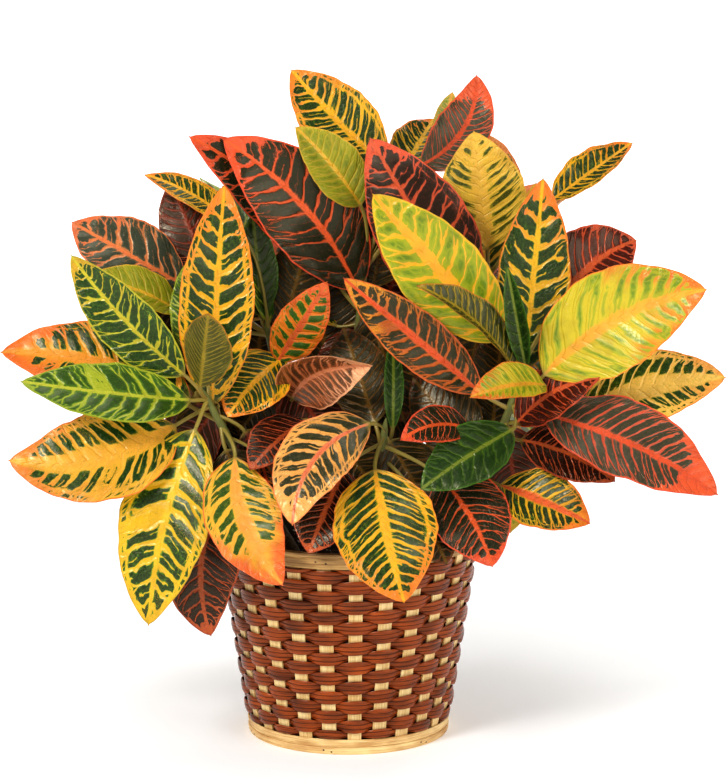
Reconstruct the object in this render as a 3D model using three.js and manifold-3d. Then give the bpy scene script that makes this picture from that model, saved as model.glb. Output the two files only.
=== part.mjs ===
// A croton house plant in a woven basket. Millimetres, +Z up, origin on the surface it stands on,
// under the middle of the basket. The front, where the plant shows its best side, looks along -Y.
//
// Outside in: a basket of upright pale stakes with one long brown strip woven round them, held by
// pale hoops at the rim and the foot; a plastic grower's pot standing in it; potting soil; and eight
// cuttings that stand in holes in the soil, each with its own whorl of leathery leaves.
import * as THREE from "three";
import { mergeVertices } from "three/addons/utils/BufferGeometryUtils.js";
import Module from "manifold-3d";

const wasm = await Module();
wasm.setup();

// ---- Driving dimensions ----
const BASKET_HEIGHT = 158;
const FOOT_RADIUS = 71; // middle of the stakes at the foot
const RIM_RADIUS = 95.5; // middle of the stakes at the rim
const GAP = 0.3; // between pieces that touch

const STAKES = 25; // an odd number, so that one strip can be woven round and round
const STAKE_WIDTH = 10.6;
const STAKE_THICK = 1.2;
const STAKE_RISE = STAKE_WIDTH ** 2 / (8 * FOOT_RADIUS); // of its flat edges past the round of the wall

const WEAVER_TURNS = 16;
const WEAVER_THICK = 1.1;
const WEAVER_OUT = 4.1; // how far the strip passes in front of the middle of a stake
const WEAVER_IN = 2.75; // and behind it
const WEAVER_CUT = 3; // its ends, which taper, are cut this many stakes before they run out
const WEAVER_SAG = 1.6; // the turns are packed tighter on one side, as handwork is
const SAG_SIDE = 0.6; // radians round from +X

const HOOP_TALL = 12;
const HOOP_THICK = 2.4;
const BASE_THICK = 5;
const BASE_RADIUS = FOOT_RADIUS - STAKE_THICK / 2 - GAP;
const BASE_SIDES = 32;

const POT_HEIGHT = 143;
const POT_RIM_RADIUS = 85;
const POT_FOOT_RADIUS = 62;
const POT_WALL = 1.8;
const POT_SIDES = 24; // the soil has as many, so that it fits
const POT_LIP_TALL = 9;
const POT_LIP_OUT = 2;
const DRAIN_HOLES = 6;
const DRAIN_RADIUS = 5;
const DRAIN_RING = 0.6; // share of the pot's foot radius
const DRAIN_SIDES = 10;

const SOIL_BELOW_LIP = 12;
const SOIL_CROWN = 5; // the soil is a little higher in the middle
const STEM_HOLE_DEPTH = 55;
const STEM_ROOT_RADIUS = 5;
const STEM_TIP_RADIUS = 2.6;
const STEM_STEPS = 5;
const BUD = 10; // the bud at the tip
const BUD_RADIUS = 0.6;

const PETIOLE = 17; // stalk between stem and blade, on the leaves that don't show
const BLADE_THICK = 0.8;
const LEAF_CLEAR = 1.3; // kept between one leaf and the next
const SMALLEST_DETAIL = 0.3;

// The front view that the leaves are placed in: from 4 m away, looking down a little.
const VIEW_TILT = THREE.MathUtils.degToRad(12.5);
const VIEW_DISTANCE = 4000;
const VIEW_MIDDLE = [10.9, 252];

const POT_BOTTOM = BASE_THICK + GAP;
const SOIL_EDGE = POT_BOTTOM + POT_HEIGHT - SOIL_BELOW_LIP;
const SOIL_TOP = SOIL_EDGE + SOIL_CROWN;

const vec = (x, y, z) => new THREE.Vector3(x, y, z);
const radians = THREE.MathUtils.degToRad;
const wallRadius = (z) => FOOT_RADIUS + ((RIM_RADIUS - FOOT_RADIUS) * z) / BASKET_HEIGHT;
const wallLean = Math.atan((RIM_RADIUS - FOOT_RADIUS) / BASKET_HEIGHT);

// ---- Shapes ----

// A closed body through rings of points, each ring with the same number, flat at both ends.
function loft(rings) {
  const sides = rings[0].length;
  const positions = rings.flat().flatMap((p) => [p.x, p.y, p.z]);
  const index = [];
  for (let i = 0; i + 1 < rings.length; i++) {
    for (let j = 0; j < sides; j++) {
      const [a, b] = [i * sides + j, i * sides + ((j + 1) % sides)];
      const [c, d] = [a + sides, b + sides];
      // Both halves of a leaf, top and underside, are split the same way, so that they never cross.
      if (j < sides / 2) index.push(a, b, d, a, d, c);
      else index.push(a, b, c, b, d, c);
    }
  }
  const last = (rings.length - 1) * sides;
  for (let j = 1; j + 1 < sides; j++) {
    index.push(0, j + 1, j);
    index.push(last, last + j, last + j + 1);
  }
  const geometry = new THREE.BufferGeometry();
  geometry.setAttribute("position", new THREE.Float32BufferAttribute(positions, 3));
  geometry.setIndex(index);
  return geometry;
}

function solid(geometry) {
  const bare = geometry.clone();
  bare.deleteAttribute("normal");
  bare.deleteAttribute("uv");
  const merged = mergeVertices(bare, 1e-4);
  return new wasm.Manifold(
    new wasm.Mesh({
      numProp: 3,
      vertProperties: merged.attributes.position.array,
      triVerts: new Uint32Array(merged.index.array),
    }),
  );
}

function geometryOf(body) {
  const mesh = body.getMesh();
  const geometry = new THREE.BufferGeometry();
  geometry.setAttribute("position", new THREE.BufferAttribute(mesh.vertProperties, 3));
  geometry.setIndex(new THREE.BufferAttribute(mesh.triVerts, 1));
  return geometry;
}

// The same body without the small closed voids that are left where several stalks cross.
function withoutVoids(body) {
  const { vertProperties, triVerts, numVert } = body.getMesh();
  const shell = Array.from({ length: numVert }, (_, i) => i);
  const root = (i) => {
    while (shell[i] !== i) i = shell[i] = shell[shell[i]];
    return i;
  };
  for (let t = 0; t < triVerts.length; t += 3) {
    shell[root(triVerts[t])] = root(triVerts[t + 1]);
    shell[root(triVerts[t + 1])] = root(triVerts[t + 2]);
  }
  const sizes = new Map();
  for (const vertex of triVerts) sizes.set(root(vertex), (sizes.get(root(vertex)) ?? 0) + 1);
  const [outer] = [...sizes.entries()].sort((one, two) => two[1] - one[1])[0];
  const kept = triVerts.filter((_, k) => root(triVerts[k - (k % 3)]) === outer);
  return new wasm.Manifold(new wasm.Mesh({ numProp: 3, vertProperties, triVerts: kept }));
}

// A body turned from a closed profile of [radius, height] points, counter-clockwise from below.
function turned(profile, sides) {
  const outline = [...profile, profile[0]].map(([r, z]) => new THREE.Vector2(r, z));
  return new THREE.LatheGeometry(outline, sides).rotateX(Math.PI / 2);
}

function uprightCylinder(x, y, bottom, top, radius, sides) {
  const rod = new THREE.CylinderGeometry(radius, radius, top - bottom, sides);
  return rod.rotateX(Math.PI / 2).translate(x, y, (top + bottom) / 2);
}

const part = new THREE.Group();

function add(name, geometry, colour, roughness = 0.6) {
  const material = new THREE.MeshStandardMaterial({ color: colour, roughness });
  const mesh = new THREE.Mesh(geometry, material);
  mesh.name = name;
  part.add(mesh);
  return mesh;
}

// ---- Basket ----
const PALE_WOOD = 0xd9ae6a;
const STAINED = 0x7a3418;

const baseProfile = [
  [0, 0],
  [BASE_RADIUS, 0],
  [BASE_RADIUS, BASE_THICK],
  [0, BASE_THICK],
];
add("basket_base", turned(baseProfile, BASE_SIDES), PALE_WOOD);

// A flat hoop that follows the slope of the wall, inside or outside the stakes.
function hoop(name, bottom, side) {
  const near = side > 0 ? STAKE_THICK / 2 + STAKE_RISE + GAP : -STAKE_THICK / 2 - GAP;
  const far = near + side * HOOP_THICK;
  const top = bottom + HOOP_TALL;
  const corners = [
    [wallRadius(bottom) + near, bottom],
    [wallRadius(bottom) + far, bottom],
    [wallRadius(top) + far, top],
    [wallRadius(top) + near, top],
  ];
  add(name, turned(side > 0 ? corners : corners.reverse(), STAKES * 2), PALE_WOOD);
}
hoop("foot_hoop_outer", 0, 1);
hoop("rim_hoop_outer", BASKET_HEIGHT - HOOP_TALL, 1);
hoop("rim_hoop_inner", BASKET_HEIGHT - HOOP_TALL, -1);

const STAKE_SHORT = 2; // the hoops stand a little proud of the stakes' ends
const stakeLength = (BASKET_HEIGHT - STAKE_SHORT) / Math.cos(wallLean);
for (let i = 0; i < STAKES; i++) {
  const around = (i / STAKES) * Math.PI * 2;
  const middle = BASKET_HEIGHT / 2;
  const stake = add(
    "stake_" + String(i + 1).padStart(2, "0"),
    new THREE.BoxGeometry(STAKE_THICK, STAKE_WIDTH, stakeLength),
    PALE_WOOD,
  );
  stake.rotation.set(0, wallLean, around, "ZYX");
  stake.position.set(wallRadius(middle) * Math.cos(around), wallRadius(middle) * Math.sin(around), middle);
}

// One strip goes in front of one stake and behind the next. The odd number of stakes puts each turn
// out of step with the turn below, and the strip climbs by its own height as it goes round. Its first
// turn and its last are cut to a taper, so that they fill up to the hoops.
const weaveBottom = HOOP_TALL + GAP;
const weaveTop = BASKET_HEIGHT - HOOP_TALL - GAP;
const turnClimb = (weaveTop - weaveBottom) / (WEAVER_TURNS + 1);
const weaverTall = turnClimb - GAP;
const weaverRings = [];
const weaverEnd = STAKES * (WEAVER_TURNS + 1) - WEAVER_CUT;
for (let i = WEAVER_CUT - STAKES; i <= weaverEnd; i++) {
  const around = (i / STAKES) * Math.PI * 2;
  const climbed = THREE.MathUtils.clamp(i / (STAKES * WEAVER_TURNS), 0, 1);
  const sag = WEAVER_SAG * Math.sin(Math.PI * climbed) ** 2 * Math.cos(around - SAG_SIDE);
  const uncut = weaveBottom + (i / STAKES) * turnClimb + sag;
  const low = Math.max(uncut, weaveBottom);
  const high = Math.min(uncut + weaverTall, weaveTop);
  const swing = i % 2 ? WEAVER_OUT : -WEAVER_IN;
  const out = vec(Math.cos(around), Math.sin(around), 0);
  const corner = (z, depth) => out.clone().multiplyScalar(wallRadius(z) + swing + depth).setZ(z);
  const half = WEAVER_THICK / 2;
  weaverRings.push([corner(low, -half), corner(high, -half), corner(high, half), corner(low, half)]);
}
add("weaver_strip", loft(weaverRings), STAINED, 0.4);

// ---- Pot and soil ----
const potOuter = (h) => POT_FOOT_RADIUS + ((POT_RIM_RADIUS - POT_FOOT_RADIUS) * h) / POT_HEIGHT;
const lipFoot = POT_HEIGHT - POT_LIP_TALL;
const potProfile = [
  [0, 0],
  [POT_FOOT_RADIUS, 0],
  [potOuter(lipFoot) - POT_LIP_OUT, lipFoot],
  [POT_RIM_RADIUS, lipFoot],
  [POT_RIM_RADIUS, POT_HEIGHT],
  [POT_RIM_RADIUS - POT_WALL - POT_LIP_OUT, POT_HEIGHT],
  [POT_FOOT_RADIUS - POT_WALL - POT_LIP_OUT, POT_WALL],
  [0, POT_WALL],
].map(([r, h]) => [r, h + POT_BOTTOM]);
let pot = solid(turned(potProfile, POT_SIDES));
for (let i = 0; i < DRAIN_HOLES; i++) {
  const around = (i / DRAIN_HOLES) * Math.PI * 2;
  const reach = DRAIN_RING * POT_FOOT_RADIUS;
  const [x, y] = [reach * Math.cos(around), reach * Math.sin(around)];
  const top = POT_BOTTOM + POT_WALL + 1;
  const hole = uprightCylinder(x, y, POT_BOTTOM - 1, top, DRAIN_RADIUS, DRAIN_SIDES);
  pot = pot.subtract(solid(hole));
}
add("grower_pot", geometryOf(pot), 0x1d1d1c, 0.5);

// ---- Stems ----

// Where a point lies that shows "across" and "up" in the front view, at a depth behind the middle.
function seen(across, up, depth) {
  const [sin, cos] = [Math.sin(VIEW_TILT), Math.cos(VIEW_TILT)];
  const [midAcross, midUp] = VIEW_MIDDLE;
  const eye = vec(midAcross, midUp * sin - VIEW_DISTANCE * cos, midUp * cos + VIEW_DISTANCE * sin);
  const onPlane = vec(across, up * sin, up * cos);
  const share = (depth - eye.y) / (onPlane.y - eye.y);
  return eye.lerp(onPlane, share);
}

// Each cutting: where it stands in the soil, the point it bends through, and its growing tip.
const STEMS = {
  left: { soil: [-40, -24], bend: [-72, -36, 200], crown: seen(-106, 246, -50) },
  right: { soil: [44, -24], bend: [104, -44, 190], crown: seen(131, 272, -55) },
  top_left: { soil: [-8, 12], bend: [2, 14, 250], crown: seen(12, 343, 22) },
  top_right: { soil: [32, 22], bend: [80, 32, 245], crown: seen(104, 336, 40) },
  front: { soil: [8, -46], bend: [20, -54, 185], crown: seen(27, 222, -60) },
  middle: { soil: [-26, 8], bend: [-40, 0, 220], crown: seen(-60, 294, 4) },
  back_left: { soil: [-24, 46], bend: [-55, 85, 215], crown: vec(-78, 105, 280) },
  back_right: { soil: [28, 54], bend: [60, 92, 220], crown: vec(84, 114, 274) },
};

function stemPoint(stem, along) {
  const [soilX, soilY] = stem.soil;
  const curve = new THREE.QuadraticBezierCurve3(vec(soilX, soilY, SOIL_TOP), vec(...stem.bend), stem.crown);
  return curve.getPoint(along);
}

function stemRing(centre, forward, radius) {
  const side = vec(0, 1, 0).cross(forward).normalize();
  const up = forward.clone().cross(side).normalize();
  return Array.from({ length: 6 }, (_, i) => {
    const turn = (i / 6) * Math.PI * 2;
    return centre
      .clone()
      .addScaledVector(side, radius * Math.cos(turn))
      .addScaledVector(up, radius * Math.sin(turn));
  });
}

// The stem goes straight down into its hole, and tapers to a bud at the top.
function stemSolid(stem) {
  const [x, y] = stem.soil;
  const up = vec(0, 0, 1);
  const rings = [
    stemRing(vec(x, y, SOIL_TOP - STEM_HOLE_DEPTH + GAP), up, STEM_ROOT_RADIUS),
    stemRing(vec(x, y, SOIL_TOP + 2), up, STEM_ROOT_RADIUS),
  ];
  for (let i = 1; i <= STEM_STEPS; i++) {
    const along = i / STEM_STEPS;
    const forward = stemPoint(stem, along).sub(stemPoint(stem, along - 0.08)).normalize();
    const radius = STEM_ROOT_RADIUS + (STEM_TIP_RADIUS - STEM_ROOT_RADIUS) * along;
    rings.push(stemRing(stemPoint(stem, along), forward, radius));
    if (i === STEM_STEPS) {
      const budTip = stemPoint(stem, 1).addScaledVector(forward, BUD);
      rings.push(stemRing(budTip, forward, BUD_RADIUS));
    }
  }
  return solid(loft(rings));
}

// ---- Leaves ----

// Leaves that show in the front view, the ones in front of the others first on each stem: stem,
// where its blade starts (across, up), where its tip is (across, up, depth), its width, the way its
// upper face looks, the arch of its midrib towards that face and its bow to the side as shares of
// its length, the fold of its halves in degrees, and true if it stands behind the others, where it
// fills the dark middle of the plant and is flat.
const SEEN_LEAVES = [
  ["left", [-102, 241], [-93, 407, -12], 56, [0.1, -1, 0.15], 0.03, -0.01, 10],
  ["left", [-119, 245], [-246, 259, -88], 48, [0, -0.75, 0.65], 0.07, -0.05, 8],
  ["left", [-119, 241], [-261, 281, -25], 64, [-0.05, -0.8, 0.6], 0.07, 0.06, 6],
  ["left", [-130, 226], [-255, 200, -80], 70, [-0.1, -0.85, 0.5], 0.06, -0.12, 6],
  ["left", [-115, 223], [-150, 76, -102], 68, [-0.2, -0.95, 0.15], 0.05, 0.03, 6],
  ["left", [-85, 202], [-49, 106, -132], 56, [0.1, -0.95, 0.25], 0.06, 0.1, 8],
  ["left", [-65, 199], [-51, 142, -112], 14, [0.1, -0.95, 0.25], 0.02, 0, 24],
  ["left", [-92, 178], [-103, 68, -78], 58, [0.1, -0.95, 0.2], 0.05, 0.12, 10],
  ["left", [-123, 264], [-208, 354, -28], 46, [-0.4, -0.8, 0.3], 0.02, -0.03, 14],
  ["left", [-111, 255], [-105, 310, -92], 42, [0.35, 0.9, 0.1], 0, 0, 22],
  ["left", [-92, 208], [-66, 148, -62], 50, [0, -0.9, 0.3], 0.05, 0, 0, true],
  ["left", [-98, 240], [-138, 184, -22], 46, [0, -0.8, 0.6], 0.05, 0, 0, true],
  ["middle", [-65, 307], [-72, 385, 16], 30, [0.2, -0.95, 0.2], 0.02, 0, 10],
  ["middle", [-85, 376], [-153, 414, 28], 26, [-0.1, -0.6, 0.8], 0.06, 0.03, 16],
  ["middle", [-126, 311], [-194, 337, -22], 40, [0, -0.6, 0.8], 0.05, 0.02, 20],
  ["middle", [-123, 331], [-208, 379, 14], 60, [-0.1, -0.7, 0.7], 0.07, -0.04, 8],
  ["middle", [-100, 328], [-136, 372, 34], 36, [0, -0.8, 0.6], 0.05, 0, 8],
  ["middle", [-53, 274], [-16, 334, -48], 37, [0.1, -1, 0.2], 0.03, 0, 8],
  ["middle", [-49, 277], [-92, 232, -90], 52, [-0.2, -0.85, 0.5], 0.08, 0.02, 8],
  ["middle", [-42, 247], [18, 271, -72], 52, [0.1, -0.95, -0.1], 0.04, -0.14, 30],
  ["middle", [-32, 230], [-74, 193, -84], 42, [-0.1, -0.75, 0.6], 0.06, 0, 10],
  ["middle", [-46, 262], [-8, 206, -28], 50, [0, -0.85, 0.5], 0.05, 0, 0, true],
  ["middle", [-50, 296], [-28, 372, 36], 48, [0, -1, 0.2], 0.03, 0, 0, true],
  ["middle", [-20, 225], [26, 172, -24], 52, [0, -0.8, 0.6], 0.05, 0, 0, true],
  ["front", [16, 227], [-42, 151, -130], 56, [-0.2, -0.8, 0.55], 0.1, 0.14, 8],
  ["front", [20, 193], [42, 93, -136], 76, [0.05, -1, 0.15], 0.05, 0.02, 6],
  ["front", [69, 187], [108, 120, -110], 60, [0.2, -0.9, 0.35], 0.07, -0.04, 8],
  ["front", [-3, 193], [-30, 130, -112], 52, [-0.1, -0.85, 0.45], 0.07, 0, 8],
  ["front", [44, 182], [74, 122, -108], 50, [0.1, -0.9, 0.3], 0.06, 0, 0, true],
  ["front", [33, 223], [33, 295, -30], 16, [0.3, -0.9, 0.1], 0.02, 0, 14],
  ["front", [20, 228], [-4, 300, -4], 48, [0, -1, 0.2], 0.03, 0, 0, true],
  ["front", [30, 215], [62, 158, -52], 52, [0, -0.8, 0.6], 0.05, 0, 0, true],
  ["right", [114, 290], [18, 400, -50], 62, [-0.1, -1, 0.25], 0.03, 0, 7],
  ["right", [126, 264], [51, 331, -102], 38, [-0.3, -0.45, 0.8], 0.08, 0.03, 30],
  ["right", [132, 268], [146, 412, -22], 54, [0, -1, 0.15], 0.02, 0, 8],
  ["right", [133, 269], [119, 346, -84], 20, [-0.1, -0.95, 0.1], 0.02, 0, 36],
  ["right", [147, 264], [269, 328, -88], 76, [0.15, -0.9, 0.45], 0.04, -0.08, 7],
  ["right", [144, 266], [164, 292, -66], 16, [0.1, -0.9, 0.3], 0.02, 0, 20],
  ["right", [147, 256], [91, 247, -116], 36, [-0.1, -0.75, 0.6], 0.1, 0, 26],
  ["right", [156, 316], [216, 365, 0], 60, [0.2, -0.85, 0.5], 0.04, -0.08, 10],
  ["right", [177, 238], [283, 262, -36], 56, [0.1, -0.8, 0.6], 0.05, -0.04, 8],
  ["right", [147, 234], [277, 174, -100], 68, [0.1, -0.7, 0.7], 0.08, -0.01, 10],
  ["right", [126, 227], [189, 262, -84], 46, [0, -0.7, 0.7], 0.05, -0.08, 10],
  ["right", [114, 181], [182, 152, -116], 48, [0.15, -0.85, 0.5], 0.06, 0, 10],
  ["right", [129, 215], [200, 184, -76], 46, [0, -0.7, 0.7], 0.06, -0.04, 8],
  ["right", [91, 223], [39, 215, -112], 30, [0, -0.85, 0.45], 0.05, 0.1, 12],
  ["right", [99, 251], [-4, 337, -62], 42, [-0.3, -0.85, 0.4], 0.03, 0, 12],
  ["right", [123, 223], [54, 178, -106], 46, [0.1, -0.8, 0.6], 0.06, 0, 8],
  ["right", [96, 208], [48, 262, -14], 50, [-0.1, -0.95, 0.2], 0.05, 0, 0, true],
  ["right", [118, 226], [126, 168, -44], 48, [0, -0.8, 0.6], 0.05, 0, 0, true],
  ["top_left", [-20, 268], [-14, 350, 44], 54, [0, -1, 0.2], 0.03, 0, 0, true],
  ["top_left", [16, 290], [42, 354, 62], 50, [0, -1, 0.2], 0.03, 0, 0, true],
  ["middle", [-48, 262], [-98, 202, 6], 54, [0, -0.9, 0.4], 0.05, 0, 0, true],
  ["top_right", [76, 264], [16, 210, 8], 52, [0, -0.9, 0.4], 0.05, 0, 0, true],
  ["back_left", [-70, 262], [-60, 340, 74], 52, [0, -1, 0.2], 0.03, 0, 0, true],
  ["left", [-78, 222], [-40, 168, -20], 50, [0, -0.9, 0.4], 0.05, 0, 0, true],
  ["left", [-114, 250], [-98, 176, 0], 50, [0, -0.9, 0.4], 0.05, 0, 0, true],
  ["left", [-112, 258], [-160, 326, 10], 50, [0, -1, 0.3], 0.03, 0, 0, true],
  ["left", [-98, 240], [-144, 274, 34], 46, [0, -1, 0.3], 0.03, 0, 0, true],
  ["right", [108, 226], [116, 304, 24], 44, [0, -1, 0.2], 0.03, 0, 0, true],
  ["middle", [-104, 338], [-134, 410, 46], 46, [0, -1, 0.3], 0.03, 0, 0, true],
  ["top_left", [27, 421], [-43, 493, 48], 54, [0.05, -0.95, 0.3], 0.02, -0.02, 10],
  ["top_left", [9, 391], [-40, 450, 0], 44, [0.35, -0.9, 0.1], 0.02, 0.03, 24],
  ["top_left", [7, 328], [-95, 442, -10], 70, [0.1, -0.95, 0.3], 0.03, 0.07, 9],
  ["top_left", [-8, 333], [-120, 443, 18], 52, [0, -0.85, 0.4], 0.03, 0.08, 12],
  ["top_left", [54, 421], [96, 489, 62], 42, [-0.1, -1, 0.1], 0.02, 0.16, 14],
  ["top_left", [39, 414], [64, 456, 86], 40, [-0.1, -0.95, 0.2], 0.03, 0, 10],
  ["top_left", [68, 433], [78, 476, 100], 18, [-0.1, -0.95, 0.2], 0.03, 0, 10],
  ["top_left", [16, 312], [42, 228, -10], 52, [0, -0.85, 0.5], 0.05, 0, 0, true],
  ["top_left", [18, 330], [32, 396, 46], 48, [0, -1, 0.2], 0.03, 0, 0, true],
  ["top_left", [12, 300], [-12, 232, 22], 52, [0, -0.85, 0.5], 0.05, 0, 0, true],
  ["top_right", [90, 313], [16, 442, 2], 74, [0, -1, 0.25], 0.03, 0, 10],
  ["top_right", [104, 358], [94, 447, 24], 68, [0.1, -1, 0.05], 0.02, 0, 16],
  ["top_right", [153, 395], [213, 438, 62], 37, [-0.25, -0.6, 0.8], 0.03, 0.02, 20],
  ["top_right", [98, 296], [78, 214, -8], 54, [0, -0.85, 0.5], 0.05, 0, 0, true],
];

// Leaves round the sides and the back: stem, how many, and the part of the circle that they fill.
const OTHER_LEAVES = [
  ["left", 5, 60, 135],
  ["right", 5, 5, 100],
  ["top_left", 4, 60, 200],
  ["top_right", 4, 45, 165],
  ["middle", 4, 115, 225],
  ["back_left", 12, 40, 235],
  ["back_right", 12, -55, 140],
];

// Shares of a blade's length at which its outline is given.
const MANY_STATIONS = [0, 0.12, 0.32, 0.56, 0.8, 1];
const FEW_STATIONS = [0, 0.2, 0.6, 1];
const SMALL_LEAF = 37; // leaves narrower than this need few, as do those behind the others

const fraction = (x) => x - Math.floor(x);
// An even scatter from 0 to 1 that is the same every time.
const scatter = (i, k) => fraction(Math.sin(i * 12.9898 + k * 78.233) * 43758.5453);

// The young leaves at the top of a stem stand up, and the old ones low down hang.
function otherLeaf(stemName, i, count, from, to, serial) {
  const age = (i + 0.5) / count;
  const heading = radians(from + (to - from) * fraction(0.35 + i * 0.618));
  const rise = radians(62 - 112 * age + 16 * (scatter(serial, 1) - 0.5));
  const length = 104 + 34 * scatter(serial, 2);
  const outward = vec(Math.cos(heading), Math.sin(heading), 0);
  const along = outward.clone().multiplyScalar(Math.cos(rise)).setZ(Math.sin(rise));
  const face = outward.clone().multiplyScalar(-Math.sin(rise)).setZ(Math.cos(rise));
  const stalk = stemPoint(STEMS[stemName], 0.98 - 0.3 * age);
  const base = stalk.clone().addScaledVector(along, PETIOLE);
  const tip = base.clone().addScaledVector(along, length);
  const width = length * (0.45 + 0.08 * scatter(serial, 3));
  return { stemName, stalk, base, tip, width, face, arch: 0.09, bow: 0, fold: 10, stations: FEW_STATIONS };
}

// Half width of the blade at a share of its length: widest before the middle, pointed at the tip.
const BLADE_BASE_POWER = 0.7;
const BLADE_TIP_POWER = 0.86;
function bladeShape(t) {
  const peak = BLADE_BASE_POWER / (BLADE_BASE_POWER + BLADE_TIP_POWER);
  const curve = (x) => x ** BLADE_BASE_POWER * (1 - x) ** BLADE_TIP_POWER;
  return curve(t) / curve(peak);
}

// The midrib point, the side vector and the upward normal at a share of the blade's length.
function leafFrame(leaf, t) {
  const chord = leaf.tip.clone().sub(leaf.base);
  const length = chord.length();
  const forward = chord.clone().normalize();
  const up = leaf.face.clone().addScaledVector(forward, -leaf.face.dot(forward)).normalize();
  const across = forward.clone().cross(up);
  const swell = 4 * length * t * (1 - t);
  const slope = 4 * (1 - 2 * t);
  const centre = leaf.base
    .clone()
    .addScaledVector(chord, t)
    .addScaledVector(up, leaf.arch * swell)
    .addScaledVector(across, leaf.bow * swell);
  const tangent = forward
    .clone()
    .addScaledVector(up, leaf.arch * slope)
    .addScaledVector(across, leaf.bow * slope)
    .normalize();
  const side = tangent.clone().cross(up).normalize();
  return { centre, side, normal: side.clone().cross(tangent) };
}

const PETIOLE_HALF = 1.5;
const PETIOLE_THICK = 2.4;
const TIP_HALF = 0.7;
const STALK_COST = 0.008;

// Where on its stem the leaf grows: where its stalk is short and runs on into the midrib.
function stalkPoint(leaf) {
  const { side, normal } = leafFrame(leaf, 0);
  const forward = normal.clone().cross(side);
  const fit = (point) => {
    const stalk = leaf.base.clone().sub(point);
    return stalk.clone().normalize().dot(forward) - stalk.length() * STALK_COST;
  };
  const points = Array.from({ length: 36 }, (_, i) => stemPoint(STEMS[leaf.stemName], 0.3 + 0.02 * i));
  return points.reduce((best, point) => (fit(point) > fit(best) ? point : best));
}

// Left edge, midrib and right edge of the blade at a share of its length.
function bladeRow(leaf, t) {
  const { centre, side, normal } = leafFrame(leaf, t);
  const half = Math.max((leaf.width / 2) * bladeShape(t), t < 0.5 ? PETIOLE_HALF : TIP_HALF);
  const fold = radians(leaf.fold);
  const edge = (sign) =>
    centre
      .clone()
      .addScaledVector(side, sign * half * Math.cos(fold))
      .addScaledVector(normal, half * Math.sin(fold));
  return { points: [edge(-1), centre, edge(1)], side, normal };
}

function leafSolid(leaf) {
  const rows = leaf.stations.map((t) => bladeRow(leaf, t));
  const { side, normal } = rows[0];
  const foot = [-1, 0, 1].map((sign) => leaf.stalk.clone().addScaledVector(side, sign * PETIOLE_HALF));
  const ring = (points, up, half) => {
    const outline = leaf.fold === 0 ? [points[0], points[2]] : points;
    return [
      ...outline.toReversed().map((p) => p.clone().addScaledVector(up, -half)),
      ...outline.map((p) => p.clone().addScaledVector(up, half)),
    ];
  };
  const rings = [ring(foot, normal, PETIOLE_THICK / 2)];
  rows.forEach((row, i) => {
    const thick = i === 0 ? PETIOLE_THICK : BLADE_THICK;
    rings.push(ring(row.points, row.normal, thick / 2));
  });
  return solid(loft(rings));
}

// ---- Leaves bent clear of each other ----

// The blade as a net of triangles and edges, with its normals, for telling whether two leaves cross.
function leafNet(leaf, fromRow) {
  const rows = leaf.stations.slice(fromRow).map((t) => bladeRow(leaf, t));
  if (fromRow === 0) {
    const { side, normal } = rows[0];
    const foot = [-1, 0, 1].map((sign) => leaf.stalk.clone().addScaledVector(side, sign * PETIOLE_HALF));
    rows.unshift({ points: foot, side, normal });
  }
  const points = rows.flatMap((row) => row.points);
  const normals = rows.flatMap((row) => [row.normal, row.normal, row.normal]);
  const triangles = [];
  const edges = [];
  rows.forEach((_, i) => {
    const a = i * 3;
    edges.push([a, a + 1], [a + 1, a + 2]);
    if (i + 1 === rows.length) return;
    edges.push([a, a + 3], [a + 1, a + 4], [a + 2, a + 5]);
    for (const b of [a, a + 1]) triangles.push([b, b + 1, b + 4], [b, b + 4, b + 3]);
  });
  const box = new THREE.Box3().setFromPoints(points).expandByScalar(LEAF_CLEAR);
  return { points, normals, triangles, edges, box };
}

function pierces(from, to, a, b, c) {
  const way = to.clone().sub(from);
  const [ab, ac] = [b.clone().sub(a), c.clone().sub(a)];
  const across = way.clone().cross(ac);
  const facing = ab.dot(across);
  if (Math.abs(facing) < 1e-9) return false;
  const offset = from.clone().sub(a);
  const u = offset.dot(across) / facing;
  if (u < 0 || u > 1) return false;
  const turn = offset.cross(ab);
  const v = way.dot(turn) / facing;
  if (v < 0 || u + v > 1) return false;
  const reach = ac.dot(turn) / facing;
  return reach >= 0 && reach <= 1;
}

function netPierces(lines, net) {
  for (const [i, j] of lines.edges) {
    for (const lift of [0, LEAF_CLEAR, -LEAF_CLEAR]) {
      const from = lines.points[i].clone().addScaledVector(lines.normals[i], lift);
      const to = lines.points[j].clone().addScaledVector(lines.normals[j], lift);
      for (const [a, b, c] of net.triangles) {
        if (pierces(from, to, net.points[a], net.points[b], net.points[c])) return true;
      }
    }
  }
  return false;
}

const netsCross = (one, two) =>
  one.box.intersectsBox(two.box) && (netPierces(one, two) || netPierces(two, one));

// A stem as five lines along it, to keep the leaves of other stems off it.
function stemNet(stem) {
  const points = [];
  const edges = [];
  const steps = 8;
  for (const [dx, dy] of [[0, 0], [1, 0], [-1, 0], [0, 1], [0, -1]]) {
    for (let i = 0; i <= steps; i++) {
      const point = stemPoint(stem, i / steps);
      const radius = STEM_ROOT_RADIUS + (STEM_TIP_RADIUS - STEM_ROOT_RADIUS) * (i / steps) + LEAF_CLEAR;
      if (i > 0) edges.push([points.length - 1, points.length]);
      points.push(point.add(vec(dx * radius, dy * radius, 0)));
    }
  }
  const box = new THREE.Box3().setFromPoints(points);
  return { points, normals: points.map(() => vec(0, 0, 0)), triangles: [], edges, box };
}

const stemNets = Object.fromEntries(Object.entries(STEMS).map(([name, stem]) => [name, stemNet(stem)]));
const placed = [];

// Hanging leaves stay outside the basket.
const RIM_CLEAR = 5;
const inBasket = (p) =>
  p.z < BASKET_HEIGHT + RIM_CLEAR && Math.hypot(p.x, p.y) < wallRadius(p.z) + HOOP_THICK + RIM_CLEAR;

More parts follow.
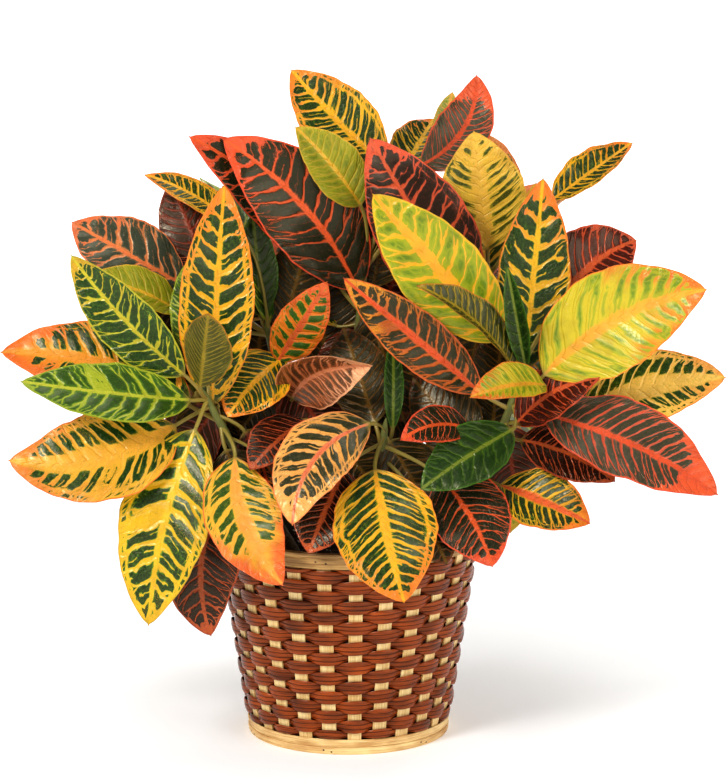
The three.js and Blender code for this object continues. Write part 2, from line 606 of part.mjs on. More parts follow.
function isClear(leaf) {
  const whole = leafNet(leaf, 0);
  const outer = leafNet(leaf, 2);
  if (whole.points.some(inBasket)) return false;
  for (const [name, net] of Object.entries(stemNets)) {
    if (name !== leaf.stemName && netsCross(net, whole)) return false;
  }
  return placed.every((other) =>
    other.stemName === leaf.stemName ? !netsCross(outer, other.outer) : !netsCross(whole, other.whole),
  );
}

// Tries a leaf at small shifts of its tip until it crosses nothing placed before it, or leaves it out.
function place(leaf, shifts) {
  for (const shift of shifts) {
    const tip = leaf.tip.clone().add(shift);
    const base = leaf.base.clone().addScaledVector(shift, BASE_SHARE);
    const moved = { ...leaf, base, tip };
    if (!isClear(moved)) continue;
    placed.push({ ...moved, whole: leafNet(moved, 0), outer: leafNet(moved, 2) });
    return;
  }
}

// A leaf that shows keeps its place in the front view, and moves nearer or further only.
const viewRay = vec(0, Math.cos(VIEW_TILT), -Math.sin(VIEW_TILT));
const BASE_SHARE = 0.3; // of what the tip does
const DEPTH_SHIFTS = [0, 8, -8, 16, -16, 24, -24, 32, -32, 40, -40, 48, -48, 56, -56].map((d) =>
  viewRay.clone().multiplyScalar(d),
);
for (const [stemName, start, end, width, face, arch, bow, fold, isPlain] of SEEN_LEAVES) {
  const { crown } = STEMS[stemName];
  const tip = seen(...end);
  const base = seen(...start, crown.y + (tip.y - crown.y) * BASE_SHARE);
  const leaf = { stemName, base, tip, width, face: vec(...face), arch, bow, fold };
  const stations = isPlain || width < SMALL_LEAF ? FEW_STATIONS : MANY_STATIONS;
  place({ ...leaf, stations, stalk: stalkPoint(leaf) }, DEPTH_SHIFTS);
}

// The others may turn and tilt freely.
const FREE_SHIFTS = [vec(0, 0, 0)];
for (const reach of [12, 24, 36]) {
  for (let i = 0; i < 6; i++) {
    const turn = (i / 6) * Math.PI * 2;
    const rise = 0.6 * Math.sin(2 * turn + 1);
    FREE_SHIFTS.push(vec(Math.cos(turn), Math.sin(turn), rise).multiplyScalar(reach));
  }
}
let serial = 0;
for (const [stemName, count, from, to] of OTHER_LEAVES) {
  for (let i = 0; i < count; i++) {
    serial += 1;
    place(otherLeaf(stemName, i, count, from, to, serial), FREE_SHIFTS);
  }
}

// ---- Soil, with a plain hole for each stem ----
const potSlope = (POT_RIM_RADIUS - POT_FOOT_RADIUS) / (POT_HEIGHT - POT_WALL);
const soilBottom = POT_BOTTOM + POT_WALL + GAP;
const soilRadius = (z) =>
  POT_FOOT_RADIUS - POT_WALL - POT_LIP_OUT + potSlope * (z - POT_BOTTOM - POT_WALL) - GAP;
const soilProfile = [
  [0, soilBottom],
  [soilRadius(soilBottom), soilBottom],
  [soilRadius(SOIL_EDGE), SOIL_EDGE],
  [0, SOIL_TOP],
];
let soil = solid(turned(soilProfile, POT_SIDES));
const HOLE_SIDES = 8;
const holeRadius = (STEM_ROOT_RADIUS + GAP) / Math.cos(Math.PI / HOLE_SIDES);
for (const stem of Object.values(STEMS)) {
  const [x, y] = stem.soil;
  const bottom = SOIL_TOP - STEM_HOLE_DEPTH;
  const hole = uprightCylinder(x, y, bottom, SOIL_TOP + 1, holeRadius, HOLE_SIDES);
  soil = soil.subtract(solid(hole));
}
add("soil", geometryOf(soil), 0x2a1d14, 0.95);

// ---- Leafy stems ----
const STEM_COLOURS = {
  left: 0x8f9a2b,
  right: 0x9ba32c,
  top_left: 0x7d2f1d,
  top_right: 0x8a3a22,
  front: 0x7f7a26,
  middle: 0x6f7a28,
  back_left: 0x4f6a26,
  back_right: 0x5c6a26,
};
for (const [name, stem] of Object.entries(STEMS)) {
  const leaves = placed.filter((leaf) => leaf.stemName === name).map(leafSolid);
  const body = wasm.Manifold.union([stemSolid(stem), ...leaves]).simplify(SMALLEST_DETAIL);
  add("croton_stem_" + name, geometryOf(withoutVoids(body)), STEM_COLOURS[name], 0.35);
}

export default part;
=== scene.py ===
# A croton house plant in a woven basket, in metres, +Z up, standing on the origin. The sections follow
# the object as it is put together: the basket, the pot and the soil, the stems and their leaves, and
# then the room that it is shown in.
import math

import bpy
import numpy as np
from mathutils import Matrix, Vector


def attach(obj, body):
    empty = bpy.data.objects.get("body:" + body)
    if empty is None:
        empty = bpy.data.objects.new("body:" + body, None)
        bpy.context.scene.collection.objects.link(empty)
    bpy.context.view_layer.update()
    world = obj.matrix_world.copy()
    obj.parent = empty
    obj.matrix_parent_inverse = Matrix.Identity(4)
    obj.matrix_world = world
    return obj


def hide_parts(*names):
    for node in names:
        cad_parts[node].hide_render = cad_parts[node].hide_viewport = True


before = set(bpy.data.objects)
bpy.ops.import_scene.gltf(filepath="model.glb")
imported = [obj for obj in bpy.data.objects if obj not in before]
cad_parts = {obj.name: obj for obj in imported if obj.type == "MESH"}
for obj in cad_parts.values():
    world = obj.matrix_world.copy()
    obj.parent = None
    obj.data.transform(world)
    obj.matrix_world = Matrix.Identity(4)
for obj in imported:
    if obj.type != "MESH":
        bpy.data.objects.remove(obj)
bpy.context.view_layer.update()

# ==== Basket base ====
# A round of thin plywood that stands inside the stakes at the foot of the basket. Its edge is rounded,
# and its outer ply shows a long open grain.
MM = 0.001
BASE_RADIUS = 70.1
BASE_THICK = 5
BASE_EDGE = 1.2  # rounding of the edge
FINE_SIDES = 96  # round the turned pieces
SHARP_EDGE = 40  # degrees from which an edge isn't shaded smooth


class Term:
    """A number that nodes work out, so that a sum made of nodes reads like a plain sum."""

    def __init__(self, tree, socket):
        self.tree = tree
        self.socket = socket

    def math(self, operation, *others):
        return Term(self.tree, step(self.tree, "ShaderNodeMath", [self, *others], operation=operation))

    def eased(self, low, high):
        """0 below low, 1 above high, and a smooth rise between."""
        inputs = {"Value": self, "From Min": low, "From Max": high}
        return Term(self.tree, step(self.tree, "ShaderNodeMapRange", inputs, interpolation_type="SMOOTHSTEP"))

    def __add__(self, other):
        return self.math("ADD", other)

    def __sub__(self, other):
        return self.math("SUBTRACT", other)

    def __rsub__(self, other):
        return self * -1 + other

    def __mul__(self, other):
        return self.math("MULTIPLY", other)

    def __truediv__(self, other):
        return self.math("DIVIDE", other)

    def __pow__(self, other):
        return self.math("POWER", other)

    __radd__ = __add__
    __rmul__ = __mul__


def step(tree, kind, inputs=(), output=0, **settings):
    """Adds a node, gives its inputs numbers, colours or other nodes' outputs, and returns its output."""
    made = tree.nodes.new(kind)
    for name, value in settings.items():
        setattr(made, name, value)
    for place, value in inputs.items() if isinstance(inputs, dict) else enumerate(inputs):
        value = value.socket if isinstance(value, Term) else value
        if isinstance(value, bpy.types.NodeSocket):
            tree.links.new(value, made.inputs[place])
        else:
            made.inputs[place].default_value = value
    return made.outputs[output] if made.outputs else None


def split(tree, vector):
    """The three numbers of a vector."""
    made = tree.nodes.new("ShaderNodeSeparateXYZ")
    tree.links.new(vector, made.inputs[0])
    return [Term(tree, socket) for socket in made.outputs]


def joined(tree, x, y, z):
    return step(tree, "ShaderNodeCombineXYZ", [x, y, z])


def noise(tree, place, scale, detail=2, roughness=0.5):
    inputs = {"Vector": place, "Scale": scale, "Detail": detail, "Roughness": roughness}
    return Term(tree, step(tree, "ShaderNodeTexNoise", inputs))


def paint(code):
    """A colour from its usual six-figure code, as the linear values that shaders take."""
    shares = [int(code[i : i + 2], 16) / 255 for i in (0, 2, 4)]
    return [s / 12.92 if s <= 0.04045 else ((s + 0.055) / 1.055) ** 2.4 for s in shares] + [1.0]


def mixed(tree, share, one, other):
    """The first colour where share is 0 and the other where it is 1."""
    return step(tree, "ShaderNodeMix", {0: share, 6: one, 7: other}, output=2, data_type="RGBA")


def new_finish(name):
    finish = bpy.data.materials.new(name)
    finish.use_nodes = True
    finish.node_tree.nodes.clear()
    return finish, finish.node_tree


def surface(tree, colour, roughness, relief, depth, **fixed):
    """Ends a finish with its colour, roughness and relief, depth being in millimetres."""
    normal = step(tree, "ShaderNodeBump", {"Height": relief, "Distance": depth * MM})
    inputs = {"Base Color": colour, "Roughness": roughness, "Normal": normal}
    inputs.update({name.replace("_", " "): value for name, value in fixed.items()})
    step(tree, "ShaderNodeOutputMaterial", [step(tree, "ShaderNodeBsdfPrincipled", inputs)])


def wood(name, pale, deep, streaks, gloss, relief, cracks=None, **fixed):
    """Split cane or veneer. The grain attribute holds metres along the fibres and across them, and a number.

    Streaks are the fibres to a metre across, and cracks how far from the middle of a strip, in
    millimetres, a fine split runs on each side.
    """
    finish, tree = new_finish(name)
    grain = step(tree, "ShaderNodeAttribute", output="Vector", attribute_name="grain")
    along, across, number = split(tree, grain)
    fibres = noise(tree, joined(tree, along * 30, across * streaks, number * 7.3), 1, 4, 0.65)
    patches = noise(tree, joined(tree, along * 45, across * 90, number * 3.1), 1, 2)
    tint = (fibres * 0.65 + patches * 0.45).eased(0.36, 0.74)
    colour = mixed(tree, tint, paint(pale), paint(deep))
    pores = noise(tree, joined(tree, along * 90, across * streaks * 2.2, number), 1, 2).eased(0.62, 0.74)
    colour = mixed(tree, pores * 0.45, colour, paint(deep))
    rough = fibres * 0.25 + gloss
    height = fibres + patches * 0.6 - pores * 0.5
    if cracks:
        wander = (noise(tree, joined(tree, along * 60, across * 60, number), 1, 2) - 0.5) * 1.6 * MM
        from_crack = ((across + wander).math("ABSOLUTE") - cracks * MM).math("ABSOLUTE")
        crack = 1 - from_crack.eased(0.08 * MM, 0.42 * MM)
        colour = mixed(tree, crack * 0.75, colour, paint("1e0a04"))
        height = height - crack * 2.0
    surface(tree, colour, rough, height, relief, **fixed)
    return finish


def turned(profile, sides):
    """Points and faces turned round +Z from [radius, height] points, from the axis out and back to it."""
    turns = np.arange(sides) / sides * math.tau
    points = [(0, 0, profile[0][1])]
    for radius, height in profile[1:-1]:
        points += [(radius * math.cos(turn), radius * math.sin(turn), height) for turn in turns]
    points.append((0, 0, profile[-1][1]))
    faces = []
    last = len(profile) - 3
    for j in range(sides):
        here, beyond = 1 + j, 1 + (j + 1) % sides
        faces.append((0, beyond, here))
        for ring in range(last):
            low = ring * sides
            faces.append((low + here, low + beyond, low + beyond + sides, low + here + sides))
        faces.append((len(points) - 1, last * sides + here, last * sides + beyond))
    return np.array(points), faces


def new_piece(name, points, faces, finish):
    """An object of its own from points in millimetres, smooth except at its sharp edges."""
    mesh = bpy.data.meshes.new(name)
    mesh.from_pydata((np.asarray(points) * MM).tolist(), [], faces)
    mesh.materials.append(finish)
    piece = bpy.data.objects.new(name, mesh)
    bpy.context.scene.collection.objects.link(piece)
    smooth(piece)
    return piece


def smooth(piece):
    piece.data.shade_smooth()
    piece.data.set_sharp_from_angle(angle=math.radians(SHARP_EDGE))


def set_values(piece, name, kind, values):
    """Stores numbers, vectors or colours at the points of a piece's mesh, for its finish to read."""
    field = {"FLOAT": "value", "FLOAT_VECTOR": "vector", "FLOAT_COLOR": "color"}[kind]
    attribute = piece.data.attributes.new(name, kind, "POINT")
    attribute.data.foreach_set(field, np.asarray(values, np.float32).ravel())


base_profile = [
    [0, 0],
    [BASE_RADIUS - BASE_EDGE, 0],
    [BASE_RADIUS - 0.3 * BASE_EDGE, 0.3 * BASE_EDGE],
    [BASE_RADIUS, BASE_EDGE],
    [BASE_RADIUS, BASE_THICK - BASE_EDGE],
    [BASE_RADIUS - 0.3 * BASE_EDGE, BASE_THICK - 0.3 * BASE_EDGE],
    [BASE_RADIUS - BASE_EDGE, BASE_THICK],
    [0, BASE_THICK],
]
plywood = wood("plywood", "e0bd82", "b98a4c", 700, 0.45, 0.15)
base_points, base_faces = turned(base_profile, FINE_SIDES)
base = new_piece("basket_base_round", base_points, base_faces, plywood)
set_values(base, "grain", "FLOAT_VECTOR", base_points * [MM, MM, 0])
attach(base, "root")
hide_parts("basket_base")

# ==== Stakes ====
# Flat uprights of pale split cane, set round the base and leaning outwards, cupped a little where they
# were split. An odd number of them lets one strip be woven round and round.
BASKET_HEIGHT = 158
FOOT_RADIUS = 71
RIM_RADIUS = 95.5
STAKES = 25
STAKE_WIDTH = 10.6
STAKE_THICK = 1.2
STAKE_RISE = STAKE_WIDTH**2 / (8 * FOOT_RADIUS)  # of its flat edges past the round of the wall
STAKE_SHORT = 2  # how much less tall than the basket it is
STAKE_CUP = 0.25  # how far out its middle is bent
NARROWEST_STAKE = 0.93  # of the full width
WALL_SLOPE = (RIM_RADIUS - FOOT_RADIUS) / BASKET_HEIGHT
WALL_LEAN = math.atan(WALL_SLOPE)


def grown(name, build, sizes, finish, start=None):
    """Runs a node tree with these named sizes on a mesh, and keeps what it makes as a plain mesh."""
    tree = bpy.data.node_groups.new(name, "GeometryNodeTree")
    tree.interface.new_socket("Geometry", in_out="INPUT", socket_type="NodeSocketGeometry")
    tree.interface.new_socket("Geometry", in_out="OUTPUT", socket_type="NodeSocketGeometry")
    sockets = {}
    for label, value in sizes.items():
        kind = "NodeSocketInt" if isinstance(value, int) else "NodeSocketFloat"
        sockets[label] = tree.interface.new_socket(label, in_out="INPUT", socket_type=kind)
    given = tree.nodes.new("NodeGroupInput")
    result = build(tree, {label: Term(tree, given.outputs[label]) for label in sizes}, given.outputs[0])
    result = step(tree, "GeometryNodeRealizeInstances", [result])
    result = step(tree, "GeometryNodeSetMaterial", {"Geometry": result, "Material": finish})
    step(tree, "NodeGroupOutput", [result])
    piece = bpy.data.objects.new(name, start.data.copy() if start else bpy.data.meshes.new(name))
    bpy.context.scene.collection.objects.link(piece)
    modifier = piece.modifiers.new("grow", "NODES")
    modifier.node_group = tree
    for label, socket in sockets.items():
        modifier[socket.identifier] = sizes[label]
    graph = bpy.context.evaluated_depsgraph_get()
    grown_piece = piece.evaluated_get(graph)
    mesh = bpy.data.meshes.new_from_object(grown_piece, preserve_all_data_layers=True, depsgraph=graph)
    piece.modifiers.remove(modifier)
    piece.data = mesh
    mesh.name = name
    smooth(piece)
    return piece


def stored(tree, geometry, name, vector, domain="POINT"):
    inputs = {"Geometry": geometry, "Name": name, "Value": vector}
    return step(tree, "GeometryNodeStoreNamedAttribute", inputs, data_type="FLOAT_VECTOR", domain=domain)


def stake_tree(tree, size, _):
    x, y, z = split(tree, step(tree, "GeometryNodeInputPosition"))
    sides = joined(tree, size["Thickness"], size["Width"], size["Length"])
    inputs = {"Size": sides, "Vertices X": 2, "Vertices Y": 7, "Vertices Z": 30}
    block = step(tree, "GeometryNodeMeshCube", inputs)
    block = stored(tree, block, "grain", joined(tree, z, y, 0))
    cup = (1 - (y / size["Width"] * 2) ** 2) * size["Cup"]
    block = step(tree, "GeometryNodeSetPosition", {"Geometry": block, "Offset": joined(tree, cup, 0, 0)})
    number = Term(tree, step(tree, "GeometryNodeInputIndex"))
    around = number / size["Stakes"] * math.tau
    radius = size["Middle Radius"]
    place = joined(tree, radius * around.math("COSINE"), radius * around.math("SINE"), size["Middle Height"])
    points = step(tree, "GeometryNodePoints", {"Count": size["Stakes"], "Position": place})
    inputs = {2: NARROWEST_STAKE, 3: 1.0, "ID": number, "Seed": 4}
    width = step(tree, "FunctionNodeRandomValue", inputs, output=1)
    turn = step(tree, "FunctionNodeEulerToRotation", [joined(tree, 0, size["Lean"], around)])
    inputs = {"Points": points, "Instance": block, "Rotation": turn, "Scale": joined(tree, 1, width, 1)}
    ring = step(tree, "GeometryNodeInstanceOnPoints", inputs)
    ring = stored(tree, ring, "number", joined(tree, 0, 0, number), "INSTANCE")
    ring = step(tree, "GeometryNodeRealizeInstances", [ring])
    grain = step(tree, "GeometryNodeInputNamedAttribute", {"Name": "grain"}, data_type="FLOAT_VECTOR")
    own = step(tree, "GeometryNodeInputNamedAttribute", {"Name": "number"}, data_type="FLOAT_VECTOR")
    both = step(tree, "ShaderNodeVectorMath", [grain, own], operation="ADD")
    return stored(tree, ring, "grain", both)


cane = wood("pale_cane", "f2d79c", "c99a56", 900, 0.42, 0.22)
middle_radius = FOOT_RADIUS + WALL_SLOPE * BASKET_HEIGHT / 2
stakes = grown(
    "stakes",
    stake_tree,
    {
        "Stakes": STAKES,
        "Middle Radius": middle_radius * MM,
        "Middle Height": BASKET_HEIGHT / 2 * MM,
        "Lean": WALL_LEAN,
        "Length": (BASKET_HEIGHT - STAKE_SHORT) / math.cos(WALL_LEAN) * MM,
        "Width": STAKE_WIDTH * MM,
        "Thickness": STAKE_THICK * MM,
        "Cup": STAKE_CUP * MM,
    },
    cane,
)
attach(stakes, "root")
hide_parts(*["stake_%02d" % (i + 1) for i in range(STAKES)])

# ==== Weaver ====
# One long flat strip of cane peel, finely split along its length, stained brown, varnished, and cut to a
# taper at both ends. It goes in front of one stake and behind the next and climbs as it goes round, and
# bulges in front of a stake.
HOOP_TALL = 12
GAP = 0.3  # play between neighbours
WEAVER_TURNS = 16
WEAVER_CUT = 3  # its tapered ends are cut this many stakes before they run out
WEAVER_THICK = 1.1
WEAVER_MIDDLE = 0.55  # of its swing, outside the middle of the stakes
WEAVER_SWING = 2.5
WEAVER_SQUARE = 0.6  # under 1, it lies flat over a stake and dives steeply between two
WEAVER_SAG = 1.6  # of its turns half way up, higher on one side and lower on the other
SAG_SIDE = 0.6  # where they are highest, in radians round from +X
WEAVER_BULGE = 0.18  # how much taller each half is in front of a stake, and lower behind one
WEAVER_CROWN = 0.5  # how much further out its middle is than its edges
WEAVER_WOBBLE = 0.24  # of its climb, up and down
WEAVER_ROLL = 1.4  # of its thickness, how far its edges tip in and out
WEAVER_LEAST = 0.4  # height of its tapered ends
WEAVER_SPLIT = 1.7  # from its middle to each fine split
WEAVER_END = 0.25  # its ends close over this share of the space from stake to stake
STEPS_A_STAKE = 8
SECTION_POINTS = 13
WELD = 0.01
WARM_SHINE = (1, 0.8, 0.58, 1)


def sides_of(turn):
    """A flat oval section, as shares of its half thickness and half height."""
    cosine, sine = turn.math("COSINE"), turn.math("SINE")
    tall = cosine.math("SIGN") * cosine.math("ABSOLUTE") ** 0.55
    thick = sine.math("SIGN") * sine.math("ABSOLUTE") ** 0.7
    return thick, tall


def ribbon(tree, stations, section, shape):
    """A strip that is closed all round: a grid rolled up across, and set out by shape(along, turn)."""
    inputs = {"Size X": 1, "Size Y": 1, "Vertices X": stations, "Vertices Y": section}
    grid = step(tree, "GeometryNodeMeshGrid", inputs)
    x, y, _ = split(tree, step(tree, "GeometryNodeInputPosition"))
    place, grain = shape(x + 0.5, (y + 0.5) * -math.tau)
    grid = stored(tree, grid, "grain", grain)
    grid = step(tree, "GeometryNodeSetPosition", {"Geometry": grid, "Position": place})
    return step(tree, "GeometryNodeMergeByDistance", {"Geometry": grid, "Distance": WELD * MM})


def round_the_wall(tree, size, around, height, out):
    """The place at an angle and a height, this far outside the middle of the stakes."""
    radius = size["Foot Radius"] + height * size["Slope"] + out
    return joined(tree, radius * around.math("COSINE"), radius * around.math("SINE"), height)


def weaver_tree(tree, size, _):
    stations = STAKES * (WEAVER_TURNS + 2) - 2 * WEAVER_CUT

    def shape(along, turn):
        passed = along * stations + (WEAVER_CUT - STAKES)
        around = passed / STAKES * math.tau
        wave = (passed * math.pi).math("COSINE") * -1
        swing = wave.math("SIGN") * wave.math("ABSOLUTE") ** size["Squareness"]
        from_end = (along * stations).math("MINIMUM", (1 - along) * stations)
        ends = (from_end / WEAVER_END).math("MINIMUM", 1.0)
        climbed = (passed / (STAKES * WEAVER_TURNS)).math("MAXIMUM", 0.0).math("MINIMUM", 1.0)
        sag = (climbed * math.pi).math("SINE") ** 2 * (around - size["Sag Side"]).math("COSINE")
        wobble = noise(tree, joined(tree, passed * 0.31, 0, 0), 1, 1) - 0.5
        roll = noise(tree, joined(tree, passed * 0.43, 7, 0), 1, 1) - 0.5
        turns = passed / STAKES + 0.5 + wobble * WEAVER_WOBBLE
        middle = turns * size["Climb"] + size["Bottom"] + sag * size["Sag"]
        half = size["Climb"] * (0.5 + swing * size["Bulge"])
        foot = (middle - half).math("MAXIMUM", size["Bottom"])
        head = (middle + half).math("MINIMUM", size["Top"])
        thick_share, tall_share = sides_of(turn)
        crown = (1 - tall_share**2) * size["Crown"]
        tip = tall_share * roll * size["Thickness"] * WEAVER_ROLL
        bulk = thick_share * size["Thickness"] * 0.5 + crown + tip
        rise = tall_share * (head - foot).math("MAXIMUM", WEAVER_LEAST * MM) * 0.5 * ends
        height = (head + foot) * 0.5 + rise
        out = size["Middle"] + swing * size["Swing"] + bulk * ends
        place = round_the_wall(tree, size, around, height, out)
        return place, joined(tree, around * size["Foot Radius"], rise, 3)

    return ribbon(tree, stations * STEPS_A_STAKE + 1, SECTION_POINTS, shape)


weave_bottom = HOOP_TALL + GAP
turn_climb = (BASKET_HEIGHT - 2 * weave_bottom) / (WEAVER_TURNS + 1)
wall_size = {"Foot Radius": FOOT_RADIUS * MM, "Slope": WALL_SLOPE}
varnish = {"Specular_Tint": WARM_SHINE, "Specular_IOR_Level": 0.4}
stained = wood("stained_cane", "a04612", "4e1c08", 1100, 0.14, 0.25, WEAVER_SPLIT, **varnish)
weaver = grown(
    "weaver",
    weaver_tree,
    {
        **wall_size,
        "Bottom": weave_bottom * MM,
        "Top": (BASKET_HEIGHT - weave_bottom) * MM,
        "Climb": turn_climb * MM,
        "Sag": WEAVER_SAG * MM,
        "Sag Side": SAG_SIDE,
        "Bulge": WEAVER_BULGE,
        "Thickness": WEAVER_THICK * MM,
        "Middle": WEAVER_MIDDLE * MM,
        "Swing": WEAVER_SWING * MM,
        "Squareness": WEAVER_SQUARE,
        "Crown": WEAVER_CROWN * MM,
    },
    stained,
)
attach(weaver, "root")
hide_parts("weaver_strip")

# ==== Hoops ====
# Pale split cane bent round the foot and, inside and outside the stakes, round the rim: a few strips on
# top of each other at each hoop, their faces rounded, held with small iron brads. The rim's cane is
# darker, with painted shade for the shadow of the leaves above it.
HOOP_THICK = 2.4
HOOP_STEPS = 230
HOOP_SECTION = 13
HOOP_WANDER = 0.35  # up and down, of each strip above the first


def hoop_tree(strips):
    """The tree of one hoop, whose strips are (bottom, height, thickness) from the hoop's own bottom.

    Its side is 1 outside the stakes and -1 inside them.
    """

    def build(tree, size, _):
        made = []
        for number, (low, tall, thick) in enumerate(strips):

            def shape(along, turn):
                around = along * math.tau + number
                circle = joined(tree, around.math("COSINE"), around.math("SINE"), number * 3.7)
                wander = (noise(tree, circle, 1.6, 2) - 0.5) * HOOP_WANDER * MM
                thick_share, tall_share = sides_of(turn)
                rise = tall_share * tall * 0.5 * MM
                height = size["Bottom"] + (low + tall / 2) * MM + rise + wander * (number > 0)
                out = size["Out"] + size["Side"] * (thick_share + 1) * thick * 0.5 * MM
                place = round_the_wall(tree, size, around, height, out)
                return place, joined(tree, around * size["Foot Radius"], rise, number * 1.7 + 5)

            made.append(ribbon(tree, HOOP_STEPS, HOOP_SECTION, shape))
        both = tree.nodes.new("GeometryNodeJoinGeometry")
        for geometry in made:
            tree.links.new(geometry, both.inputs[0])
        flip = size["Side"].math("LESS_THAN", 0.0)
        return step(tree, "GeometryNodeFlipFaces", {"Mesh": both.outputs[0], "Selection": flip})

    return build


foot_cane = wood("foot_cane", "efcf90", "b98546", 1300, 0.4, 0.3)
# The rim hoops' cane is the foot's pale cane darkened: painted shade for the shadow that the leaves cast on
# the rim.
shaded_rim_cane = wood("shaded_rim_cane", "c49a5a", "7c5528", 1300, 0.4, 0.4)
rim_bottom = BASKET_HEIGHT - HOOP_TALL
FOOT_STRIPS = [(0, 5.6, 2.4), (5.5, 6.3, 1.7)]
RIM_STRIPS = [(0, 4.2, 1.9), (4.0, 4.2, 2.3), (8.0, 3.9, 2.1)]
for name, node, bottom, side, strips, bent_cane in (
    ("foot_hoop", "foot_hoop_outer", 0, 1, FOOT_STRIPS, foot_cane),
    ("rim_hoop_outside", "rim_hoop_outer", rim_bottom, 1, RIM_STRIPS, shaded_rim_cane),
    ("rim_hoop_inside", "rim_hoop_inner", rim_bottom, -1, RIM_STRIPS, shaded_rim_cane),
):
    sizes = {
        **wall_size,
        "Bottom": bottom * MM,
        "Out": (STAKE_THICK / 2 + STAKE_RISE + GAP if side > 0 else -STAKE_THICK / 2 - GAP) * MM,
        "Side": float(side),
    }
    hoop = grown(name, hoop_tree(strips), sizes, bent_cane)
    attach(hoop, "root")
    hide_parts(node)

# ==== Brads ====
# Small iron brads with domed heads, driven through the foot and rim hoops and into the stakes. They go in
# by pairs, the second of each a little lower than the first.
BRAD_RADIUS = 0.95
BRAD_HEAD = (0.5, 1, 0.85)  # how a ball is flattened to its dome
BRAD_PAIRS = 6
BRAD_STEP = 5.6  # between the two of a pair
BRAD_DROP = 1.1
FIRST_BRAD = -104  # degrees round from +X
FOOT_BRAD_HEIGHT = 3.4
FOOT_BRAD_OUT = 3.2  # outside the middle of the stakes
RIM_BRAD_HEIGHT = 6  # above the foot of the rim hoop
RIM_BRAD_OUT = 3.1


def brad_tree(tree, size, _):
    number = Term(tree, step(tree, "GeometryNodeInputIndex"))
    pair = (number / 2).math("FLOOR")
    second = number - pair * 2
    around = size["First"] + pair / BRAD_PAIRS * math.tau + second * size["Step"] / size["Foot Radius"]
    place = round_the_wall(tree, size, around, size["Height"] - second * BRAD_DROP * MM, size["Out"])
    points = step(tree, "GeometryNodePoints", {"Count": BRAD_PAIRS * 2, "Position": place})
    head = step(tree, "GeometryNodeMeshIcoSphere", {"Radius": size["Radius"], "Subdivisions": 2})
    turn = step(tree, "FunctionNodeEulerToRotation", [joined(tree, 0, 0, around)])
    inputs = {"Points": points, "Instance": head, "Rotation": turn, "Scale": BRAD_HEAD}
    return step(tree, "GeometryNodeInstanceOnPoints", inputs)


iron, iron_tree = new_finish("dark_iron")
iron_place = step(iron_tree, "ShaderNodeTexCoord", output="Object")
rust = noise(iron_tree, iron_place, 1800, 3)
iron_colour = mixed(iron_tree, rust, paint("2b211c"), paint("5a4536"))
surface(iron_tree, iron_colour, rust * 0.3 + 0.35, rust, 0.1, Metallic=0.7)
for name, height, out in (
    ("foot_brads", FOOT_BRAD_HEIGHT, FOOT_BRAD_OUT),
    ("rim_brads", rim_bottom + RIM_BRAD_HEIGHT, RIM_BRAD_OUT),
):
    sizes = {
        **wall_size,
        "Height": height * MM,
        "Out": out * MM,
        "Radius": BRAD_RADIUS * MM,
        "Step": BRAD_STEP * MM,
        "First": math.radians(FIRST_BRAD),
    }
    brads = grown(name, brad_tree, sizes, iron)
    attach(brads, "root")

# ==== Grower's pot ====
# A thin black plastic pot, moulded with a stiff lip round its mouth and drain holes in its floor. It
# stands on the base of the basket.
POT_BOTTOM = BASE_THICK + GAP
POT_HEIGHT = 143
POT_RIM_RADIUS = 85
POT_FOOT_RADIUS = 62
POT_WALL = 1.8
POT_LIP_TALL = 9
POT_LIP_OUT = 2
POT_ROUNDING = 0.7
DRAIN_HOLES = 6
DRAIN_RADIUS = 5
DRAIN_RING = 0.6  # how far out the drain holes are, as a share of the foot's radius
ROD_SIDES = 32


def rod(x, y, bottom, top, radius):
    points, faces = turned([[0, bottom], [radius, bottom], [radius, top], [0, top]], ROD_SIDES)
    return points + [x, y, 0], faces


def drilled(piece, rods):
    """Takes these rods out of a piece, so that they leave holes."""
    points, faces, first = [], [], 0
    for rod_points, rod_faces in rods:
        points.append(rod_points)
        faces += [tuple(i + first for i in face) for face in rod_faces]
        first += len(rod_points)
    drill = new_piece("drill", np.concatenate(points), faces, piece.data.materials[0])
    cut = piece.modifiers.new("holes", "BOOLEAN")
    cut.object = drill
    cut.solver = "EXACT"
    graph = bpy.context.evaluated_depsgraph_get()
    mesh = bpy.data.meshes.new_from_object(piece.evaluated_get(graph))
    piece.modifiers.remove(cut)
    piece.data = mesh
    bpy.data.objects.remove(drill)
    smooth(piece)


pot_slope = (POT_RIM_RADIUS - POT_FOOT_RADIUS) / POT_HEIGHT
lip_foot = POT_HEIGHT - POT_LIP_TALL
pot_outer = POT_FOOT_RADIUS + pot_slope * lip_foot - POT_LIP_OUT
pot_inner = POT_RIM_RADIUS - POT_WALL - POT_LIP_OUT
pot_profile = [
    [0, 0],
    [POT_FOOT_RADIUS - POT_ROUNDING, 0],
    [POT_FOOT_RADIUS, POT_ROUNDING],
    [pot_outer, lip_foot],
    [POT_RIM_RADIUS - POT_ROUNDING, lip_foot],
    [POT_RIM_RADIUS, lip_foot + POT_ROUNDING],
    [POT_RIM_RADIUS, POT_HEIGHT - POT_ROUNDING],
    [POT_RIM_RADIUS - POT_ROUNDING, POT_HEIGHT],
    [pot_inner + POT_ROUNDING, POT_HEIGHT],
    [pot_inner, POT_HEIGHT - POT_ROUNDING],
    [POT_FOOT_RADIUS - POT_WALL - POT_LIP_OUT, POT_WALL],
    [0, POT_WALL],
]
plastic, plastic_tree = new_finish("black_plastic")
plastic_place = step(plastic_tree, "ShaderNodeTexCoord", output="Object")
mould = noise(plastic_tree, plastic_place, 900, 3, 0.7)
scuffs = noise(plastic_tree, plastic_place, 60, 4, 0.7).eased(0.5, 0.75)
plastic_colour = mixed(plastic_tree, scuffs, paint("1d1d1c"), paint("3a3934"))
surface(plastic_tree, plastic_colour, mould * 0.25 + scuffs * 0.2 + 0.3, mould, 0.08)
pot_points, pot_faces = turned([[r, h + POT_BOTTOM] for r, h in pot_profile], FINE_SIDES)
